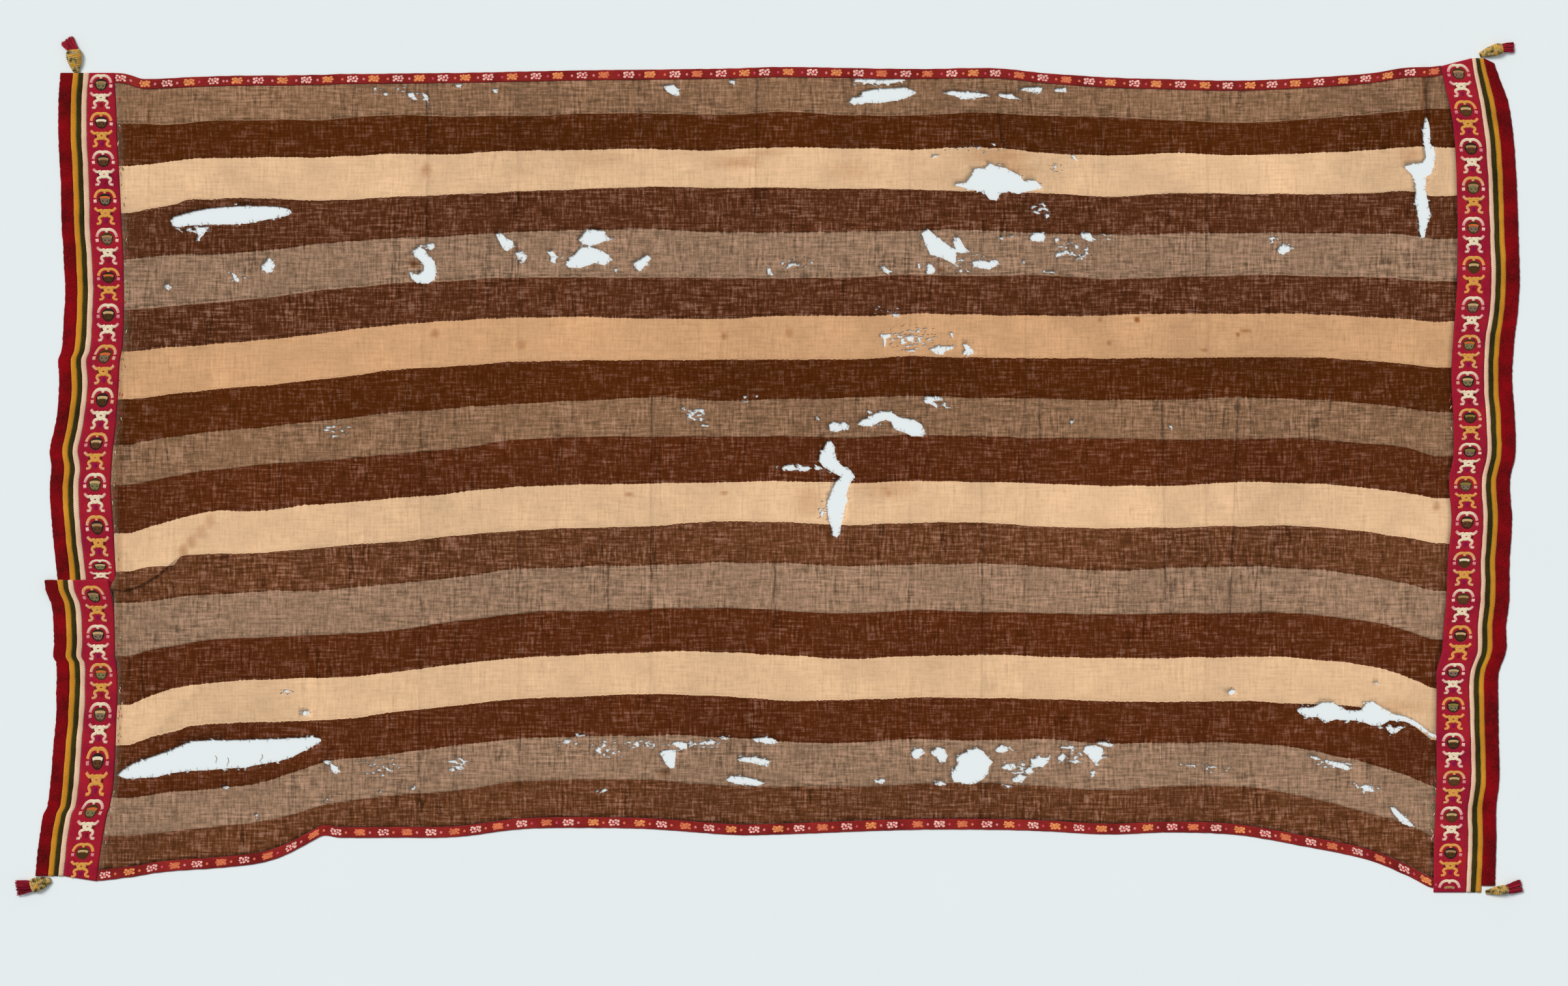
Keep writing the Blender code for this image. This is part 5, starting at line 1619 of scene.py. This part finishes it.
def make_head(tassel, finish):
    """A tassel's head: yarn wound round and round, on a flattened underside."""
    root = Vector(tassel.root)
    run = Vector(tassel.waist) - root
    side = Vector((-run.y, run.x)).normalized()
    rings = []
    colours = []
    sections = max(24, round(run.length / HEAD_SECTION))
    dyes = [YARNS[name] for name in ("umber", "olive", "khaki", "straw", "ochre", "yellow")]
    for j in range(sections + 1):
        share = j / sections
        width = follow(HEAD_SHARES, HEAD_WIDTHS, share)
        ring = []
        for k in range(HEAD_SIDES):
            turn = 2 * math.pi * k / HEAD_SIDES
            wind = share * run.length / WIND_PITCH + turn / (2 * math.pi)
            ridge = 0.96 + 0.04 * math.sin(2 * math.pi * wind)
            flat = max(math.sin(turn), -HEAD_FLAT)
            out = math.cos(turn) * width * ridge * tassel.head_width / 2
            height = (flat + HEAD_FLAT) / (1 + HEAD_FLAT) * width * ridge * HEAD_HEIGHT
            plan = root + run * share + side * out
            ring.append(place(plan.x, plan.y, max(height, 0.0)))
            pick = 0.5 + 0.9 * noisy(plan.x, plan.y, 5.0, 61) + 0.25 * (share - 0.5)
            colours.append(dyes[min(max(int(pick * len(dyes)), 0), len(dyes) - 1)])
        rings.append(ring)
    piece = loft(f"tassel_binding_{tassel.corner}", rings, finish)
    give_values(piece, "yarn", colours, "FLOAT_COLOR")
    return settle(piece, "tassel_head", f"tassel_head_{tassel.corner}")


def make_tuft(tassel, strands, finish):
    """A tassel's cut end: loose strands that spread from the head and rest on the floor."""
    chance = random.Random(tassel.corner + "_tuft")
    waist = Vector(tassel.waist)
    tip = Vector(tassel.tip)
    along = (tip - waist).normalized()
    side = Vector((-along.y, along.x))
    start = waist - along * 1.5
    length = (tip - start).length
    work = YarnWork()
    for _ in range(strands):
        spread = chance.uniform(-1, 1)
        level = chance.random()
        reach = length * chance.uniform(0.82, 1.0)
        end = spread * tassel.tuft_width / 2 * 0.94 + chance.uniform(-0.8, 0.8)
        spine = []
        for j in range(7):
            share = j / 6
            off = spread * tassel.tuft_width * 0.33 * (1 - share) + end * share
            off += 0.5 * math.sin(share * 7 + level * 9)
            height = 1.2 + level * (TUFT_HEIGHT - 2.4) * (1 - 0.55 * share * share)
            plan = start + along * reach * share + side * off
            spine.append(place(plan.x, plan.y, height))
        shade = chance.uniform(0.65, 1.15)
        red = YARNS["crimson"] if chance.random() < 0.75 else YARNS["red"]
        work.tube(spine, STRAND_RADIUS * MM, shaded(red, shade), sides=5)
    piece = work.piece(f"tassel_strands_{tassel.corner}", finish)
    return settle(piece, "tassel_tuft", f"tassel_tuft_{tassel.corner}")


def make_threads(settings, finish):
    """Short broken threads that stick out of the ground cloth's tears."""
    chance = random.Random(5)
    cloth = ClothMap(settings.cloth_step / MM)
    work = YarnWork()
    outlines = [ragged(tear, k) for k, tear in enumerate(TEARS)]
    spots = []
    for outline in outlines:
        turn = sum(a.cross(b) for a, b in sides_of(outline))
        for here, there in sides_of(outline):
            run = (there - here).normalized()
            inward = Vector((-run.y, run.x)) if turn > 0 else Vector((run.y, -run.x))
            spots.append((here, inward))
    for here, inward in chance.sample(spots, min(settings.thread_count, len(spots))):
        length = chance.uniform(2.0, 6.5)
        lean = Vector((chance.uniform(-1, 1), chance.uniform(-1, 1))) * 0.7
        ahead = (inward + lean).normalized()
        bend = chance.uniform(-0.5, 0.5)
        height = ground_height(here.x, here.y) - 0.4
        spine = []
        for j in range(4):
            share = j / 3
            turned = Vector((ahead.x - bend * share * ahead.y, ahead.y + bend * share * ahead.x))
            plan = here - ahead * 1.0 + turned * (length * share)
            spine.append(place(plan.x, plan.y, max(height * (1 - share * 0.7), 0.35)))
        yarn = STRIPE_YARNS[min(int(cloth.stripe(here.x, here.y)), len(STRIPE_YARNS) - 1)]
        shade = chance.uniform(0.7, 1.2)
        colour = shaded(getattr(settings, yarn), shade)
        work.tube(spine, chance.uniform(*BROKEN_RADII) * MM, colour)
    for low, high in LONG_THREADS:
        spine = []
        for j in range(9):
            share = j / 8
            across = between(low[0], high[0], share) + 1.6 * math.sin(share * 5)
            spine.append(place(across, between(low[1], high[1], share), 0.7))
        work.tube(spine, LONG_RADIUS * MM, YARNS["tan"])
    for outward, low, high, number in STRAY_STITCHES:
        for _ in range(number):
            down = chance.uniform(low, high)
            across = seam_place(outward, down) - outward * chance.uniform(1.0, 8.0)
            height = ground_height(across, down)
            end = Vector((across + chance.uniform(-2.0, 2.0), down + chance.uniform(2.5, 6.0)))
            spine = [place(across, down, height - 0.2),
                     place((across + end.x) / 2, (down + end.y) / 2, height + 0.35),
                     place(end.x, end.y, ground_height(end.x, end.y) - 0.2)]
            colour = YARNS[chance.choice(["green", "pink", "red", "grey", "white", "olive"])]
            work.tube(spine, STITCH_RADIUS * MM, colour, sides=4)
    piece = work.piece("broken_threads", finish)
    return settle(piece, "ground")


def make_stage(settings):
    """The pale floor, the soft light and the camera that looks straight down."""
    size = settings.floor_size / 2
    corners = [(-size, -size, 0.0), (size, -size, 0.0), (size, size, 0.0), (-size, size, 0.0)]
    mesh = bpy.data.meshes.new("pale_floor")
    mesh.from_pydata(corners, [], [(0, 1, 2, 3)])
    mesh.materials.append(floor_paint(settings.floor_colour))
    floor = add_object("pale_floor", mesh)
    floor.location.z = -FLOOR_DROP

    world = bpy.data.worlds.new("soft_studio_air")
    world.use_nodes = True
    air = world.node_tree.nodes["Background"]
    air.inputs["Color"].default_value = linear("eef3f5")
    air.inputs["Strength"].default_value = settings.air_strength
    bpy.context.scene.world = world

    lamp = bpy.data.lights.new("soft_daylight", "SUN")
    lamp.energy = settings.lamp_strength
    lamp.angle = settings.lamp_softness
    lamp.color = linear("fffaf2")[:3]
    daylight = add_object("soft_daylight", lamp)
    daylight.location = LAMP_PLACE
    daylight.rotation_euler = (-daylight.location).to_track_quat("-Z", "Y").to_euler()

    camera = bpy.data.cameras.new("overhead_camera")
    camera.lens = 85.0
    camera.sensor_width = 36.0
    viewer = add_object("overhead_camera", camera)
    distance = PHOTO_WIDTH * camera.lens / camera.sensor_width
    viewer.location = place(FIELD_ACROSS, FIELD_DOWN, distance)
    bpy.context.scene.camera = viewer
    bpy.context.scene.view_settings.view_transform = "Standard"


def yarn_colour(label, code):
    """A colour setting whose default is an sRGB hex code."""
    return bpy.props.FloatVectorProperty(
        name=label, description=f"Dye colour of the {label.lower()}", subtype="COLOR", size=4,
        min=0.0, max=1.0, default=linear(code))


class MantleSettings(bpy.types.PropertyGroup):
    """Colours, sizes and counts that the operators read."""

    tan: yarn_colour("Tan stripes", "8e6b50")
    light_tan: yarn_colour("Light tan stripes", "9c7c64")
    rust: yarn_colour("Rust brown stripes", "552808")
    brown: yarn_colour("Brown stripes", "5d321a")
    chestnut: yarn_colour("Chestnut stripes", "5c2c10")
    faded: yarn_colour("Faded brown stripe", "6b3f24")
    cream: yarn_colour("Cream stripes", "d7a77c")
    light_cream: yarn_colour("Light cream stripes", "e9c199")
    tape: yarn_colour("Edge tapes", "a02c28")
    band: yarn_colour("Figured bands", "b0202c")
    white_stripe: yarn_colour("White border stripe", "fadabc")
    dark_stripe: yarn_colour("Dark border stripe", "463a0e")
    yellow_stripe: yarn_colour("Yellow border stripe", "e29c2e")
    edging: yarn_colour("Red edging", "9c0010")
    floor_colour: yarn_colour("Floor", "eef6fb")
    cloth_step: bpy.props.FloatProperty(
        name="Cloth step", description="Width of the ground cloth's mesh columns",
        default=0.009, min=0.003, max=0.05, unit="LENGTH")
    yarn_pitch: bpy.props.FloatProperty(
        name="Yarn pitch", description="Distance between yarns; drawn about twice the real one",
        default=0.0018, min=0.0005, max=0.01, unit="LENGTH")
    thread_count: bpy.props.IntProperty(
        name="Broken threads", description="How many short threads stick out of the tears",
        default=900, min=0, max=4000)
    strand_count: bpy.props.IntProperty(
        name="Tassel strands", description="How many strands each tassel's end has",
        default=90, min=10, max=300)
    floor_size: bpy.props.FloatProperty(
        name="Floor size", description="Length of each side of the pale floor",
        default=40.0, min=3.0, max=80.0, unit="LENGTH")
    lamp_strength: bpy.props.FloatProperty(
        name="Daylight", description="Strength of the soft daylight, in watts per square metre",
        default=2.5, min=0.0, max=20.0, subtype="FACTOR")
    lamp_softness: bpy.props.FloatProperty(
        name="Softness", description="Angle over which the soft daylight is spread",
        default=math.radians(24), min=0.0, max=math.pi, subtype="ANGLE")
    air_strength: bpy.props.FloatProperty(
        name="Air light", description="Strength of the even light from all round",
        default=0.42, min=0.0, max=10.0, subtype="FACTOR")


class MANTLE_OT_ground(bpy.types.Operator):
    """Builds the torn, striped ground cloth and its broken threads"""

    bl_idname = "mantle.ground"
    bl_label = "Ground cloth"

    def execute(self, context):
        settings = context.scene.mantle
        piece = make_ground(settings)
        threads = make_threads(settings, pattern_yarn("broken_wool_thread"))
        return {"FINISHED"}


class MANTLE_OT_tapes(bpy.types.Operator):
    """Builds the two red tapes with their small motifs"""

    bl_idname = "mantle.tapes"
    bl_label = "Edge tapes"

    def execute(self, context):
        settings = context.scene.mantle
        wool = yarn_wool("dull_red_tape_wool", settings.tape, "701818", 1.6)
        yarn = pattern_yarn("tape_pattern_yarn")
        for name in ("top", "bottom"):
            piece = make_tape(name, wool)
            motifs = make_motifs(name, yarn)
            path = tape_path(name)
        return {"FINISHED"}


class MANTLE_OT_borders(bpy.types.Operator):
    """Builds both side borders: figured band, three stripes and red edging"""

    bl_idname = "mantle.borders"
    bl_label = "Side borders"

    def execute(self, context):
        settings = context.scene.mantle
        crimson = yarn_wool("crimson_band_wool", settings.band, "880c30", 1.5)
        yarn = pattern_yarn("band_pattern_yarn")
        finishes = {
            "white_stripe": yarn_wool("corded_white_cotton", settings.white_stripe, "e0b094", 1.2,
                                      rib_mm=3.0),
            "dark_stripe": yarn_wool("black_brown_wool", settings.dark_stripe, "222006", 1.2,
                                     rib_mm=3.0),
            "yellow_stripe": yarn_wool("corded_yellow_wool", settings.yellow_stripe, "c07a20", 1.2,
                                       rib_mm=3.0, edge=("8c7a20", 0.0, 0.3)),
        }
        edging = yarn_wool("deep_red_looped_wool", settings.edging, "4a0203", 1.6, rib_mm=3.4)
        for side, outward, tops, hidden, run in (
            ("left", -1, LEFT_FIGURES, LEFT_HIDDEN_FROM, left_run()),
            ("right", 1, RIGHT_FIGURES, RIGHT_HIDDEN_FROM, right_run(RIGHT_BORDER[-1].down)),
        ):
            piece = make_band(side, outward, run, crimson)
            figures = make_figures(side, outward, tops, hidden, yarn)
            width = sum(abs(s.spine - s.seam) for s in run) / len(run) * MM
            band_length(run)
            strips = make_strips(side, outward, run, finishes)
            if outward > 0:
                run = right_run(RIGHT_EDGING_END)
            outer = make_edging(side, outward, run, edging)
            band_length(run)
        return {"FINISHED"}


class MANTLE_OT_tassels(bpy.types.Operator):
    """Builds the four corner tassels"""

    bl_idname = "mantle.tassels"
    bl_label = "Corner tassels"

    def execute(self, context):
        settings = context.scene.mantle
        bound = pattern_yarn("wound_yellow_wool")
        loose = pattern_yarn("cut_red_wool")
        for tassel in TASSELS:
            make_head(tassel, bound)
            make_tuft(tassel, settings.strand_count, loose)
        return {"FINISHED"}


class MANTLE_OT_stage(bpy.types.Operator):
    """Adds the pale floor, the soft light and the overhead camera"""

    bl_idname = "mantle.stage"
    bl_label = "Floor, light and camera"

    def execute(self, context):
        make_stage(context.scene.mantle)
        return {"FINISHED"}


OPERATORS = (MANTLE_OT_ground, MANTLE_OT_tapes, MANTLE_OT_borders, MANTLE_OT_tassels,
             MANTLE_OT_stage)


class MANTLE_PT_panel(bpy.types.Panel):
    """Lists the operators and their settings"""

    bl_idname = "MANTLE_PT_panel"
    bl_label = "Woven Mantle"
    bl_space_type = "VIEW_3D"
    bl_region_type = "UI"
    bl_category = "Mantle"

    def draw(self, context):
        for operator in OPERATORS:
            self.layout.operator(operator.bl_idname)
        for name in MantleSettings.__annotations__:
            self.layout.prop(context.scene.mantle, name)


def register():
    """Makes the add-on's classes and settings known to Blender."""
    for made in (MantleSettings, *OPERATORS, MANTLE_PT_panel):
        bpy.utils.register_class(made)
    bpy.types.Scene.mantle = bpy.props.PointerProperty(type=MantleSettings)


def unregister():
    """Takes the add-on's classes and settings away again."""
    del bpy.types.Scene.mantle
    for made in (MANTLE_PT_panel, *reversed(OPERATORS), MantleSettings):
        bpy.utils.unregister_class(made)


def main():
    """Builds the whole mantle and its stage."""
    register()
    bpy.ops.mantle.ground()
    bpy.ops.mantle.tapes()
    bpy.ops.mantle.borders()
    bpy.ops.mantle.tassels()
    bpy.ops.mantle.stage()
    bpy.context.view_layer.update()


if __name__ == "__main__":
    main()
